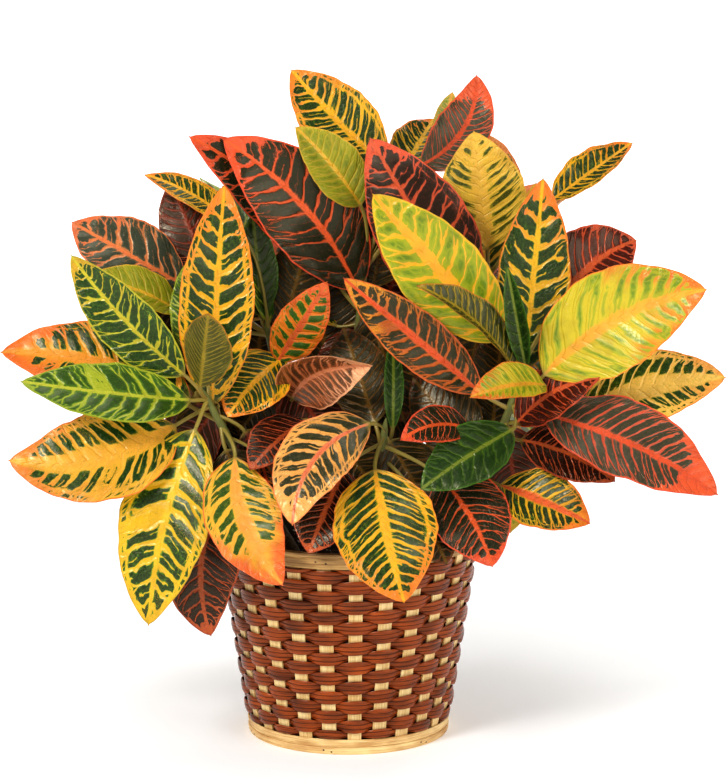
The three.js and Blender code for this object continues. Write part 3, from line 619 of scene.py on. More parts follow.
pot = new_piece("growers_pot", pot_points, pot_faces, plastic)
drain_ring = DRAIN_RING * POT_FOOT_RADIUS
drains = []
for i in range(DRAIN_HOLES):
    turn = i / DRAIN_HOLES * math.tau
    x, y = drain_ring * math.cos(turn), drain_ring * math.sin(turn)
    drains.append(rod(x, y, POT_BOTTOM - 1, POT_BOTTOM + POT_WALL + 1, DRAIN_RADIUS))
drilled(pot, drains)
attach(pot, "root")
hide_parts("grower_pot")

# ==== Soil ====
# Dark peat, a little higher in the middle and crumbly on top, with a hole round each stem. Bits of white
# perlite and brown bark lie scattered in it.
SOIL_BELOW_LIP = 12
SOIL_CROWN = 5
SOIL_RINGS = 26
SOIL_CRUMBLE = 0.9
SOIL_PLAY = 0.4  # between its edge and the wall of the pot
SOIL_BITS = 60000  # to the square metre
BIT_RADIUS = 1.3
STEM_HOLE_DEPTH = 55
STEM_ROOT_RADIUS = 5
STEM_FEET = {
    "left": (-40, -24),
    "right": (44, -24),
    "top_left": (-8, 12),
    "top_right": (32, 22),
    "front": (8, -46),
    "middle": (-26, 8),
    "back_left": (-24, 46),
    "back_right": (28, 54),
}
SOIL_EDGE = POT_BOTTOM + POT_HEIGHT - SOIL_BELOW_LIP
SOIL_TOP = SOIL_EDGE + SOIL_CROWN
soil_bottom = POT_BOTTOM + POT_WALL + GAP
soil_foot = POT_FOOT_RADIUS - POT_WALL - POT_LIP_OUT - GAP
soil_slope = (POT_RIM_RADIUS - POT_FOOT_RADIUS) / (POT_HEIGHT - POT_WALL)
soil_reach = soil_foot + soil_slope * (SOIL_EDGE - POT_BOTTOM - POT_WALL) - SOIL_PLAY
soil_profile = [[0, soil_bottom], [soil_foot, soil_bottom]]
for ring in range(SOIL_RINGS):
    share = 1 - ring / SOIL_RINGS
    soil_profile.append([soil_reach * share, SOIL_TOP - SOIL_CROWN * share])
soil_profile.append([0, SOIL_TOP])
soil_points, soil_faces = turned(soil_profile, FINE_SIDES)
x, y, z = soil_points.T
crumble = np.sin(x * 0.61 + 1.7 * np.sin(y * 0.33)) + np.sin(y * 0.79 + 1.3 * np.sin(x * 0.41))
crumble += 0.7 * np.sin(x * 1.9 + y * 1.3) * np.sin(y * 2.3 - x * 0.7)
on_top = (z > SOIL_EDGE - 1) & (np.hypot(x, y) < soil_reach - 1)
soil_points[:, 2] += np.where(on_top, (crumble - 2) * 0.5 * SOIL_CRUMBLE, 0)

peat, peat_tree = new_finish("peat")
peat_place = step(peat_tree, "ShaderNodeTexCoord", output="Object")
crumbs = noise(peat_tree, peat_place, 420, 5, 0.75)
clods = noise(peat_tree, peat_place, 95, 3)
peat_tint = (crumbs * 0.6 + clods * 0.4).eased(0.35, 0.68)
peat_colour = mixed(peat_tree, peat_tint, paint("120c08"), paint("3f2c1c"))
surface(peat_tree, peat_colour, 0.95, crumbs + clods, 1.2)
soil = new_piece("potting_soil", soil_points, soil_faces, peat)
hole_foot = SOIL_TOP - STEM_HOLE_DEPTH
hole_radius = STEM_ROOT_RADIUS + GAP
drilled(soil, [rod(x, y, hole_foot, SOIL_TOP + 1, hole_radius) for x, y in STEM_FEET.values()])
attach(soil, "root")
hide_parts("soil")


def bits_tree(tree, size, ground):
    normal = split(tree, step(tree, "GeometryNodeInputNormal"))[2]
    upward = normal.math("GREATER_THAN", 0.6)
    scattered = tree.nodes.new("GeometryNodeDistributePointsOnFaces")
    tree.links.new(ground, scattered.inputs["Mesh"])
    tree.links.new(upward.socket, scattered.inputs["Selection"])
    tree.links.new(size["Bits"].socket, scattered.inputs["Density"])
    scattered.inputs["Seed"].default_value = 11
    crumb = step(tree, "GeometryNodeMeshIcoSphere", {"Radius": size["Radius"], "Subdivisions": 1})

    def chance(least, most, seed):
        inputs = {0: least, 1: most, "Seed": seed}
        return step(tree, "FunctionNodeRandomValue", inputs, data_type="FLOAT_VECTOR")

    turn = step(tree, "FunctionNodeEulerToRotation", [chance((0, 0, 0), (6, 6, 6), 5)])
    stretch = chance((0.3, 0.4, 0.35), (1.5, 1.1, 0.8), 8)
    inputs = {"Points": scattered.outputs[0], "Instance": crumb, "Rotation": turn, "Scale": stretch}
    return step(tree, "GeometryNodeInstanceOnPoints", inputs)


bits_finish, bits_shader = new_finish("perlite_and_bark")
bits_place = step(bits_shader, "ShaderNodeTexCoord", output="Object")
kind = noise(bits_shader, bits_place, 260, 1).eased(0.57, 0.6)
grit = noise(bits_shader, bits_place, 1500, 3)
bark_tone = mixed(bits_shader, grit, paint("2a1b10"), paint("6a4a2c"))
bits_colour = mixed(bits_shader, kind, bark_tone, paint("cfcabc"))
surface(bits_shader, bits_colour, 0.9, grit, 0.3)
sizes = {"Bits": float(SOIL_BITS), "Radius": BIT_RADIUS * MM}
bits = grown("soil_bits", bits_tree, sizes, bits_finish, soil)
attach(bits, "root")

# ==== Stems ====
# Eight rooted cuttings that stand in the soil, grey and woody low down, green higher up, and ending in a
# bud. Scars ring each one where its older leaves fell.
VIEW_TILT = math.radians(12.5)  # how far the front view looks down
VIEW_DISTANCE = 4000
VIEW_MIDDLE = (10.9, 252)  # across and up
STEM_TIP_RADIUS = 2.6
STEM_SIDES = 14
STEM_STEPS = 70
BUD = 10  # length of the growing tip
SCAR_EVERY = 9


def view_eye():
    """The point that the front view is taken from."""
    across, up = VIEW_MIDDLE
    sin, cos = math.sin(VIEW_TILT), math.cos(VIEW_TILT)
    return np.array([across, up * sin - VIEW_DISTANCE * cos, up * cos + VIEW_DISTANCE * sin])


def seen(across, up, depth):
    """Where a point lies that shows "across" and "up" in the front view, at a depth behind the middle."""
    eye = view_eye()
    on_plane = np.array([across, up * math.sin(VIEW_TILT), up * math.cos(VIEW_TILT)])
    return eye + (on_plane - eye) * (depth - eye[1]) / (on_plane[1] - eye[1])


# The point that each stem bends towards on its way, and its growing tip.
STEM_BENDS = {
    "left": ((-72, -36, 200), seen(-106, 246, -50)),
    "right": ((104, -44, 190), seen(131, 272, -55)),
    "top_left": ((2, 14, 250), seen(12, 343, 22)),
    "top_right": ((80, 32, 245), seen(104, 336, 40)),
    "front": ((20, -54, 185), seen(27, 222, -60)),
    "middle": ((-40, 0, 220), seen(-60, 294, 4)),
    "back_left": ((-55, 85, 215), (-78, 105, 280)),
    "back_right": ((60, 92, 220), (84, 114, 274)),
}


def unit(vectors):
    return vectors / np.linalg.norm(vectors, axis=-1, keepdims=True)


def stem_point(name, along):
    """A point on the stem's middle line, from the soil at 0 to the growing tip at 1."""
    foot = np.array([*STEM_FEET[name], SOIL_TOP])
    bend, crown = (np.array(point) for point in STEM_BENDS[name])
    along = np.asarray(along)[..., None]
    return foot * (1 - along) ** 2 + bend * 2 * along * (1 - along) + crown * along**2


def stem_body(name):
    """Rings round the stem's line, closed at both ends, with each point's share of the way up."""
    share = np.linspace(0, 1, STEM_STEPS)
    line = stem_point(name, share)
    forward = unit(np.gradient(line, axis=0))
    forward[0] = [0, 0, 1]
    radius = STEM_ROOT_RADIUS + (STEM_TIP_RADIUS - STEM_ROOT_RADIUS) * share
    length = np.linalg.norm(line[-1] - line[0])
    scars = np.cos(share * length / SCAR_EVERY * math.tau + len(name))
    radius = radius * (0.96 + 0.05 * np.clip(scars - 0.4, 0, 1))
    foot = line[0] - [0, 0, STEM_HOLE_DEPTH - GAP]
    line = np.vstack([foot, line, line[-1] + forward[-1] * BUD * 0.5, line[-1] + forward[-1] * BUD])
    forward = np.vstack([forward[:1], forward, forward[-1:], forward[-1:]])
    radius = np.concatenate([[radius[0]], radius, [STEM_TIP_RADIUS * 0.75, 0.5]])
    share = np.concatenate([[0], share, [1, 1]])
    side = unit(np.cross([0, 1, 0], forward))
    up = np.cross(forward, side)
    turns = np.arange(STEM_SIDES) / STEM_SIDES * math.tau
    rings = line[:, None] + radius[:, None, None] * (
        side[:, None] * np.cos(turns)[None, :, None] + up[:, None] * np.sin(turns)[None, :, None]
    )
    return rings, np.repeat(share, STEM_SIDES)


def lofted(rings, first=0):
    """Points and faces through rings of points, closed with a face at each end."""
    count, sides = rings.shape[:2]
    faces = []
    for i in range(count - 1):
        low = first + i * sides
        for j in range(sides):
            beyond = (j + 1) % sides
            faces.append((low + j, low + beyond, low + beyond + sides, low + j + sides))
    last = first + (count - 1) * sides
    faces.append(tuple(range(first + sides - 1, first - 1, -1)))
    faces.append(tuple(range(last, last + sides)))
    return rings.reshape(-1, 3), faces


bark, bark_tree = new_finish("croton_bark")
climb = Term(bark_tree, step(bark_tree, "ShaderNodeAttribute", output="Fac", attribute_name="climb"))
bark_place = step(bark_tree, "ShaderNodeTexCoord", output="Object")
cork = noise(bark_tree, bark_place, 700, 4, 0.7)
drawn_out = step(bark_tree, "ShaderNodeMapping", [bark_place, (0, 0, 0), (0, 0, 0), (1, 1, 0.12)])
streak = noise(bark_tree, drawn_out, 900, 2)
woody = mixed(bark_tree, cork.eased(0.35, 0.65), paint("4a3a28"), paint("8c7a5c"))
fresh = mixed(bark_tree, streak, paint("3f4a1a"), paint("7d7a34"))
bark_colour = mixed(bark_tree, (climb + cork * 0.3 - 0.15).eased(0.45, 0.85), woody, fresh)
surface(bark_tree, bark_colour, cork * 0.2 + 0.5, cork + streak, 0.5)
for name in STEM_FEET:
    rings, climbs = stem_body(name)
    stem = new_piece("stem_" + name, *lofted(rings), bark)
    set_values(stem, "climb", "FLOAT", climbs)
    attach(stem, "root")
    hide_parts("croton_stem_" + name)

# ==== Leaves ====
# Thick leathery blades on short stalks, green to almost black between bright veins of yellow, orange or
# red, which run from the midrib to a thin coloured edge. Each springs from its own place on a stem.
PETIOLE = 17  # length of a stalk
PETIOLE_HALF = 1.5
TIP_HALF = 0.7
BLADE_BASE_POWER = 0.7  # the higher, the more pointed a blade is at its base
BLADE_TIP_POWER = 0.86
STALK_COST = 0.008  # how much each millimetre counts against a longer, straighter stalk
BASE_SHARE = 0.3  # how far the base of a blade goes with its tip, in depth and in shifts
MANY_STATIONS = [0, 0.12, 0.32, 0.56, 0.8, 1]  # shares of a blade's length that its net has rows at
FEW_STATIONS = [0, 0.2, 0.6, 1]
SMALL_LEAF = 37  # a narrower one has the few

# How each kind of leaf is coloured: its veins, the same towards its tip, the turn from vein to panel, the
# panels between the veins, its edge and its midrib. Then how many veins a side, the share of the blade
# that they take, the share that the midrib takes, how often a panel is missing, how softly panels end,
# how far up from the base the veins are still thin and dull, how much the panels break up into islands,
# and the share of its length that is plain at the tip.
LEAF_COLOURS = ["vein_colour", "tip_colour", "turn_colour", "panel_colour", "edge_colour", "rib_colour"]
LEAF_KINDS = {
    "gold": ("dd9d1b de7626 527016 152c0c d67a26 df9c24", 13, 0.22, 0.08, 0.02, 0.1, 0, 0.9, 0.05),
    "splash": ("dba61c dfac24 587e18 1a3010 b48e24 dfac23", 10, 0.22, 0.08, 0.12, 0.12, 0.2, 1, 0.04),
    "forest": ("d79f1d de6d26 486a1c 172e0c c76f2a dfa521", 9, 0.22, 0.08, 0.02, 0.1, 0.4, 0.3, 0.06),
    "moss": ("bcae28 c89a28 4c701a 1a380e a8a028 c4b02a", 12, 0.15, 0.06, 0.02, 0.14, 0.1, 0.4, 0.04),
    "tongue": ("dc9124 df6726 54701a 132a0c dc6b2a df8b2e", 12, 0.3, 0.16, 0.06, 0.1, 0, 0.6, 0.14),
    "lime": ("d99a21 c6a324 8e921c 5c7414 c09624 dc962a", 11, 0.17, 0.15, 0.02, 0.75, 0, 0, 0.03),
    "fresh": ("b09a30 b8a030 949022 6c7618 c89a2c d8a42e", 12, 0.16, 0.08, 0.02, 0.8, 0, 0, 0.03),
    "slit": ("bca628 da6526 9a9a22 5e7a1a d47124 da9630", 13, 0.46, 0.12, 0.1, 0.6, 0, 0.1, 0.05),
    "ladder": ("d8ac3e dcaa44 807a22 343f16 cf9a3c deac44", 13, 0.46, 0.2, 0.08, 0.3, 0, 0.4, 0.06),
    "amber": ("e4a634 e08038 5c721e 15340e dc6a2e e6a43a", 12, 0.27, 0.27, 0.04, 0.1, 0, 1, 0.08),
    # The next kind is the amber made brighter: painted light for a leaf that lies in the shade of the leaves
    # above it.
    "cream": ("f2bc52 f0a048 62761e 17380e e07c34 f4c25e", 12, 0.27, 0.3, 0.03, 0.1, 0, 1, 0.08),
    "fire": ("d39a23 d67124 4a6a18 192813 d66124 cd562e", 12, 0.26, 0.15, 0.03, 0.1, 0, 0.6, 0.1),
    "garnet": ("ba4824 c2502e 641602 3c0900 af4027 c2552a", 12, 0.15, 0.08, 0.02, 0.14, 0, 0.3, 0.03),
    "orange": ("dfa034 da6030 6a7822 2a4415 d65e2e e29440", 11, 0.28, 0.22, 0.08, 0.14, 0, 1, 0.27),
    "ovals": ("d87322 d3592f 5d7c22 2b4e15 d05e26 d15a30", 9, 0.44, 0.14, 0.02, 0.16, 0, 1, 0.08),
    "scarlet": ("cb5026 d34e2b 4a2a0e 1a2010 cd482b d55628", 11, 0.13, 0.06, 0.02, 0.12, 0.4, 0.1, 0.08),
    "ember": ("b4561e cc8424 54340e 1e220c bc5224 cc4c22", 14, 0.2, 0.13, 0.12, 0.16, 0, 0.5, 0.06),
    "plum": ("cd5937 d35334 583128 30251f c95235 d35c38", 11, 0.13, 0.06, 0.04, 0.16, 0.3, 0.5, 0.05),
    "flare": ("c84e32 e25a30 6c4c36 3c3c2c d04e30 d4522e", 18, 0.17, 0.08, 0.02, 0.14, 0.3, 0.1, 0.19),
    "maroon": ("a74825 b15027 461d0f 200c04 983a20 b35227", 13, 0.16, 0.07, 0.02, 0.16, 0, 0.2, 0.04),
    "salmon": ("dc984a e2a458 504624 262a16 d87c44 d26a44", 11, 0.29, 0.07, 0.05, 0.12, 0.3, 0.8, 0.16),
    # The next kind's grey panels are partly the leaf's own colour and partly a painted sheen, for the grey
    # shine on it.
    "slate": ("c87440 cd6639 54503a 343a2c c76539 d26f3c", 8, 0.13, 0.06, 0.02, 0.18, 0.1, 0.2, 0.06),
    "grass": ("a0a42c 8e9c2a 4c6c1c 2a4612 8c9626 b2b036", 10, 0.16, 0.06, 0.04, 0.4, 0, 0, 0.02),
    "olive": ("8e781a 94741c 4a4c10 262c0a b06a1e 9a8022", 17, 0.2, 0.07, 0, 0.4, 0, 0, 0.02),
    "rust": ("ba6c42 dea276 7e4626 45301c d69468 c87c54", 13, 0.28, 0.08, 0.05, 0.5, 0.2, 0.3, 0.12),
    "young": ("486018 486018 2c4614 183010 38601c 6c7628", 9, 0.03, 0.07, 0, 0.5, 0, 0, 0.02),
    # The last two kinds are dark leaf colours with dulled veins, partly painted shade, for the plain leaves
    # in the shaded middle.
    "dusk": ("6e4616 6e3212 3c3210 241e0a 583a10 725018", 12, 0.14, 0.05, 0.02, 0.3, 0, 0.2, 0.02),
    "wine": ("7c2a14 842e14 481a0c 301408 6c2410 862e16", 12, 0.14, 0.05, 0.02, 0.3, 0, 0.2, 0.02),
}

# Leaves set for the front view: stem, where the blade starts (across, up), where its tip is (across, up,
# depth), its width, the way its upper face looks, the arch of its midrib towards that face and its bow to
# the side as shares of its length, the fold of its halves in degrees, its kind, and true for the plain ones
# that fill the dark middle behind the others. These plain ones are dark leaves with dull veins, partly
# their own colour and partly painted shade, set where the middle of the plant lies in shade. Each is
# placed clear of the ones above it in the list.
SEEN_LEAVES = [
    ("left", (-102, 241), (-93, 407, -12), 56, (0.1, -1, 0.15), 0.03, -0.01, 10, "gold"),
    ("left", (-119, 245), (-246, 259, -88), 48, (0, -0.75, 0.65), 0.07, -0.05, 8, "grass"),
    ("left", (-119, 241), (-261, 281, -25), 64, (-0.05, -0.8, 0.6), 0.07, 0.06, 6, "tongue"),
    ("left", (-130, 226), (-255, 200, -80), 70, (-0.1, -0.85, 0.5), 0.06, -0.12, 6, "amber"),
    ("left", (-115, 223), (-150, 76, -102), 68, (-0.2, -0.95, 0.15), 0.05, 0.03, 6, "splash"),
    ("left", (-85, 202), (-49, 106, -132), 56, (0.1, -0.95, 0.25), 0.06, 0.1, 8, "orange"),
    ("left", (-65, 199), (-51, 142, -112), 14, (0.1, -0.95, 0.25), 0.02, 0, 24, "ember"),
    ("left", (-92, 178), (-103, 68, -78), 58, (0.1, -0.95, 0.2), 0.05, 0.12, 10, "maroon"),
    ("left", (-123, 264), (-208, 354, -28), 46, (-0.4, -0.8, 0.3), 0.02, -0.03, 14, "moss"),
    ("left", (-111, 255), (-105, 310, -92), 42, (0.35, 0.9, 0.1), 0, 0, 22, "olive"),
    ("left", (-92, 208), (-66, 148, -62), 50, (0, -0.9, 0.3), 0.05, 0, 0, "dusk", True),
    ("left", (-98, 240), (-138, 184, -22), 46, (0, -0.8, 0.6), 0.05, 0, 0, "wine", True),
    ("middle", (-65, 307), (-72, 385, 16), 30, (0.2, -0.95, 0.2), 0.02, 0, 10, "young"),
    ("middle", (-85, 376), (-153, 414, 28), 26, (-0.1, -0.6, 0.8), 0.06, 0.03, 16, "gold"),
    ("middle", (-126, 311), (-194, 337, -22), 40, (0, -0.6, 0.8), 0.05, 0.02, 20, "fresh"),
    ("middle", (-123, 331), (-208, 379, 14), 60, (-0.1, -0.7, 0.7), 0.07, -0.04, 8, "slate"),
    ("middle", (-100, 328), (-136, 372, 34), 36, (0, -0.8, 0.6), 0.05, 0, 8, "maroon"),
    ("middle", (-53, 274), (-16, 334, -48), 37, (0.1, -1, 0.2), 0.03, 0, 8, "ovals"),
    ("middle", (-49, 277), (-92, 232, -90), 52, (-0.2, -0.85, 0.5), 0.08, 0.02, 8, "gold"),
    ("middle", (-42, 247), (18, 271, -72), 52, (0.1, -0.95, -0.1), 0.04, -0.14, 30, "rust"),
    ("middle", (-32, 230), (-74, 193, -84), 42, (-0.1, -0.75, 0.6), 0.06, 0, 10, "maroon"),
    ("middle", (-46, 262), (-8, 206, -28), 50, (0, -0.85, 0.5), 0.05, 0, 0, "wine", True),
    ("middle", (-50, 296), (-28, 372, 36), 48, (0, -1, 0.2), 0.03, 0, 0, "dusk", True),
    ("middle", (-20, 225), (26, 172, -24), 52, (0, -0.8, 0.6), 0.05, 0, 0, "dusk", True),
    ("front", (16, 227), (-42, 151, -130), 56, (-0.2, -0.8, 0.55), 0.1, 0.14, 8, "salmon"),
    ("front", (20, 193), (42, 93, -136), 76, (0.05, -1, 0.15), 0.05, 0.02, 6, "gold"),
    ("front", (69, 187), (108, 120, -110), 60, (0.2, -0.9, 0.35), 0.07, -0.04, 8, "scarlet"),
    ("front", (-3, 193), (-30, 130, -112), 52, (-0.1, -0.85, 0.45), 0.07, 0, 8, "maroon"),
    ("front", (44, 182), (74, 122, -108), 50, (0.1, -0.9, 0.3), 0.06, 0, 0, "dusk", True),
    ("front", (33, 223), (33, 295, -30), 16, (0.3, -0.9, 0.1), 0.02, 0, 14, "young"),
    ("front", (20, 228), (-4, 300, -4), 48, (0, -1, 0.2), 0.03, 0, 0, "dusk", True),
    ("front", (30, 215), (62, 158, -52), 52, (0, -0.8, 0.6), 0.05, 0, 0, "dusk", True),
    ("right", (114, 290), (18, 400, -50), 62, (-0.1, -1, 0.25), 0.03, 0, 7, "lime"),
    ("right", (126, 264), (51, 331, -102), 38, (-0.3, -0.45, 0.8), 0.08, 0.03, 30, "olive"),
    ("right", (132, 268), (146, 412, -22), 54, (0, -1, 0.15), 0.02, 0, 8, "forest"),
    ("right", (133, 269), (119, 346, -84), 20, (-0.1, -0.95, 0.1), 0.02, 0, 36, "young"),
    ("right", (147, 264), (269, 328, -88), 76, (0.15, -0.9, 0.45), 0.04, -0.08, 7, "slit"),
    ("right", (144, 266), (164, 292, -66), 16, (0.1, -0.9, 0.3), 0.02, 0, 20, "young"),
    ("right", (147, 256), (91, 247, -116), 36, (-0.1, -0.75, 0.6), 0.1, 0, 26, "slit"),
    ("right", (156, 316), (216, 365, 0), 60, (0.2, -0.85, 0.5), 0.04, -0.08, 10, "garnet"),
    # Painted light: this leaf lies in the shade of the leaves above it, so its kind is a brighter amber.
    ("right", (177, 238), (283, 262, -36), 56, (0.1, -0.8, 0.6), 0.05, -0.04, 8, "cream"),
    ("right", (147, 234), (277, 174, -100), 68, (0.1, -0.7, 0.7), 0.08, -0.01, 10, "flare"),
    ("right", (126, 227), (189, 262, -84), 46, (0, -0.7, 0.7), 0.05, -0.08, 10, "garnet"),
    ("right", (114, 181), (182, 152, -116), 48, (0.15, -0.85, 0.5), 0.06, 0, 10, "fire"),
    ("right", (129, 215), (200, 184, -76), 46, (0, -0.7, 0.7), 0.06, -0.04, 8, "maroon"),
    ("right", (91, 223), (39, 215, -112), 30, (0, -0.85, 0.45), 0.05, 0.1, 12, "scarlet"),
    ("right", (99, 251), (-4, 337, -62), 42, (-0.3, -0.85, 0.4), 0.03, 0, 12, "ember"),
    ("right", (123, 223), (54, 178, -106), 46, (0.1, -0.8, 0.6), 0.06, 0, 8, "young"),
    ("right", (96, 208), (48, 262, -14), 50, (-0.1, -0.95, 0.2), 0.05, 0, 0, "dusk", True),
    ("right", (118, 226), (126, 168, -44), 48, (0, -0.8, 0.6), 0.05, 0, 0, "wine", True),
    ("top_left", (-20, 268), (-14, 350, 44), 54, (0, -1, 0.2), 0.03, 0, 0, "dusk", True),
    ("top_left", (16, 290), (42, 354, 62), 50, (0, -1, 0.2), 0.03, 0, 0, "wine", True),
    ("middle", (-48, 262), (-98, 202, 6), 54, (0, -0.9, 0.4), 0.05, 0, 0, "dusk", True),
    ("top_right", (76, 264), (16, 210, 8), 52, (0, -0.9, 0.4), 0.05, 0, 0, "dusk", True),
    ("back_left", (-70, 262), (-60, 340, 74), 52, (0, -1, 0.2), 0.03, 0, 0, "dusk", True),
    ("left", (-78, 222), (-40, 168, -20), 50, (0, -0.9, 0.4), 0.05, 0, 0, "wine", True),
    ("left", (-114, 250), (-98, 176, 0), 50, (0, -0.9, 0.4), 0.05, 0, 0, "dusk", True),
    ("left", (-112, 258), (-160, 326, 10), 50, (0, -1, 0.3), 0.03, 0, 0, "dusk", True),
    ("left", (-98, 240), (-144, 274, 34), 46, (0, -1, 0.3), 0.03, 0, 0, "dusk", True),
    ("right", (108, 226), (116, 304, 24), 44, (0, -1, 0.2), 0.03, 0, 0, "dusk", True),
    ("middle", (-104, 338), (-134, 410, 46), 46, (0, -1, 0.3), 0.03, 0, 0, "wine", True),
    ("top_left", (27, 421), (-43, 493, 48), 54, (0.05, -0.95, 0.3), 0.02, -0.02, 10, "gold"),
    ("top_left", (9, 391), (-40, 450, 0), 44, (0.35, -0.9, 0.1), 0.02, 0.03, 24, "fresh"),
    ("top_left", (7, 328), (-95, 442, -10), 70, (0.1, -0.95, 0.3), 0.03, 0.07, 9, "scarlet"),
    ("top_left", (-8, 333), (-120, 443, 18), 52, (0, -0.85, 0.4), 0.03, 0.08, 12, "scarlet"),
    ("top_left", (54, 421), (96, 489, 62), 42, (-0.1, -1, 0.1), 0.02, 0.16, 14, "flare"),
    ("top_left", (39, 414), (64, 456, 86), 40, (-0.1, -0.95, 0.2), 0.03, 0, 10, "forest"),
    ("top_left", (68, 433), (78, 476, 100), 18, (-0.1, -0.95, 0.2), 0.03, 0, 10, "lime"),
    ("top_left", (16, 312), (42, 228, -10), 52, (0, -0.85, 0.5), 0.05, 0, 0, "dusk", True),
    ("top_left", (18, 330), (32, 396, 46), 48, (0, -1, 0.2), 0.03, 0, 0, "dusk", True),
    ("top_left", (12, 300), (-12, 232, 22), 52, (0, -0.85, 0.5), 0.05, 0, 0, "wine", True),
    ("top_right", (90, 313), (16, 442, 2), 74, (0, -1, 0.25), 0.03, 0, 10, "plum"),
    ("top_right", (104, 358), (94, 447, 24), 68, (0.1, -1, 0.05), 0.02, 0, 16, "ladder"),
    ("top_right", (153, 395), (213, 438, 62), 37, (-0.25, -0.6, 0.8), 0.03, 0.02, 20, "gold"),
    ("top_right", (98, 296), (78, 214, -8), 54, (0, -0.85, 0.5), 0.05, 0, 0, "dusk", True),
]

# Leaves round the sides and the back: stem, how many, and from where to where round it they look, in
# degrees from +X.
OTHER_LEAVES = [
    ("left", 5, 60, 135),
    ("right", 5, 5, 100),
    ("top_left", 4, 60, 200),
    ("top_right", 4, 45, 165),
    ("middle", 4, 115, 225),
    ("back_left", 12, 40, 235),
    ("back_right", 12, -55, 140),
]
OTHER_KINDS = ["gold", "scarlet", "forest", "amber", "maroon", "lime", "salmon", "plum", "grass", "ember"]
YOUNG_RISE = 62  # degrees above level at the top of a stem
OLD_RISE = -50
RISE_PLAY = 16
OTHER_LENGTH = 104
OTHER_LENGTH_PLAY = 34
OTHER_WIDTH = 0.45  # of the length
OTHER_WIDTH_PLAY = 0.08


def scatter(i, k):
    """An even scatter from 0 to 1 that is the same every time."""
    value = math.sin(i * 12.9898 + k * 78.233) * 43758.5453
    return value - math.floor(value)


def other_leaf(stem, i, count, start, end, serial):
    """The young leaves at the top of a stem stand up, and the old ones low down hang."""
    age = (i + 0.5) / count
    heading = math.radians(start + (end - start) * ((0.35 + i * 0.618) % 1))
    lean = RISE_PLAY * (scatter(serial, 1) - 0.5)
    rise = math.radians(YOUNG_RISE + (OLD_RISE - YOUNG_RISE) * age + lean)
    length = OTHER_LENGTH + OTHER_LENGTH_PLAY * scatter(serial, 2)
    outward = np.array([math.cos(heading), math.sin(heading), 0])
    along = outward * math.cos(rise) + [0, 0, math.sin(rise)]
    face = outward * -math.sin(rise) + [0, 0, math.cos(rise)]
    stalk = stem_point(stem, 0.98 - 0.3 * age)
    base = stalk + along * PETIOLE
    return {
        "stem": stem,
        "stalk": stalk,
        "base": base,
        "tip": base + along * length,
        "width": length * (OTHER_WIDTH + OTHER_WIDTH_PLAY * scatter(serial, 3)),
        "face": face,
        "arch": 0.09,
        "bow": 0,
        "fold": 10,
        "stations": FEW_STATIONS,
        "kind": OTHER_KINDS[int(scatter(serial, 4) * len(OTHER_KINDS))],
    }


def blade_shape(t):
    """Half width at a share of the length, as a share of the most: pointed, and widest before the middle."""
    peak = BLADE_BASE_POWER / (BLADE_BASE_POWER + BLADE_TIP_POWER)
    most = peak**BLADE_BASE_POWER * (1 - peak) ** BLADE_TIP_POWER
    return t**BLADE_BASE_POWER * (1 - t) ** BLADE_TIP_POWER / most


def leaf_frame(leaf, t):
    """The midrib's points, the side vectors and the upward normals at shares of the blade's length."""
    t = np.atleast_1d(t)[:, None]
    chord = leaf["tip"] - leaf["base"]
    length = np.linalg.norm(chord)
    forward = chord / length
    up = unit(leaf["face"] - forward * (leaf["face"] @ forward))
    across = np.cross(forward, up)
    swell = 4 * length * t * (1 - t)
    slope = 4 * (1 - 2 * t)
    centre = leaf["base"] + chord * t + (up * leaf["arch"] + across * leaf["bow"]) * swell
    tangent = unit(forward + (up * leaf["arch"] + across * leaf["bow"]) * slope)
    side = unit(np.cross(tangent, up))
    return centre, side, np.cross(side, tangent)


def half_width(leaf, t):
    return np.maximum(leaf["width"] / 2 * blade_shape(t), np.where(t < 0.5, PETIOLE_HALF, TIP_HALF))


def stalk_point(leaf):
    """Where on its stem the leaf grows: where its stalk is short and runs on into the midrib."""
    _, side, normal = leaf_frame(leaf, 0)
    forward = np.cross(normal[0], side[0])
    points = stem_point(leaf["stem"], 0.3 + 0.02 * np.arange(36))
    stalks = leaf["base"] - points
    lengths = np.linalg.norm(stalks, axis=1)
    return points[np.argmax(stalks @ forward / lengths - lengths * STALK_COST)]


# -- Leaves moved clear of each other --
LEAF_CLEAR = 1.3  # between two leaves
RIM_CLEAR = 5  # between a leaf and the basket
NET_STEPS = 8  # up a stem
SHIFT_WAYS = 6


def leaf_net(leaf, from_row):
    """The blade as a coarse net: points, normals, triangles, edges and the box round it."""
    t = np.array(leaf["stations"][from_row:])
    centre, side, normal = leaf_frame(leaf, t)
    half = half_width(leaf, t)[:, None]
    fold = math.radians(leaf["fold"])
    lift = normal * half * math.sin(fold)
    reach = side * half * math.cos(fold)
    rows = np.stack([centre - reach + lift, centre, centre + reach + lift], axis=1)
    if from_row == 0:
        foot = leaf["stalk"] + np.outer([-1, 0, 1], side[0]) * PETIOLE_HALF
        rows = np.concatenate([foot[None], rows])
        normal = np.concatenate([normal[:1], normal])
    triangles, edges = [], []
    for i in range(len(rows)):
        a = i * 3
        edges += [(a, a + 1), (a + 1, a + 2)]
        if i + 1 < len(rows):
            edges += [(a, a + 3), (a + 1, a + 4), (a + 2, a + 5)]
            for b in (a, a + 1):
                triangles += [(b, b + 1, b + 4), (b, b + 4, b + 3)]
    return finished_net(rows.reshape(-1, 3), np.repeat(normal, 3, axis=0), triangles, edges, LEAF_CLEAR)


def finished_net(points, normals, triangles, edges, margin):
    """A net, with its edges also drawn a little above and a little below it."""
    starts, ends = np.array(edges).T
    lifts = np.array([0, LEAF_CLEAR, -LEAF_CLEAR])[:, None, None]
    lines = [(points[k] + lifts * normals[k]).reshape(-1, 3) for k in (starts, ends)]
    box = (points.min(0) - margin, points.max(0) + margin)
    return {"points": points, "lines": lines, "corners": points[np.array(triangles, int)], "box": box}


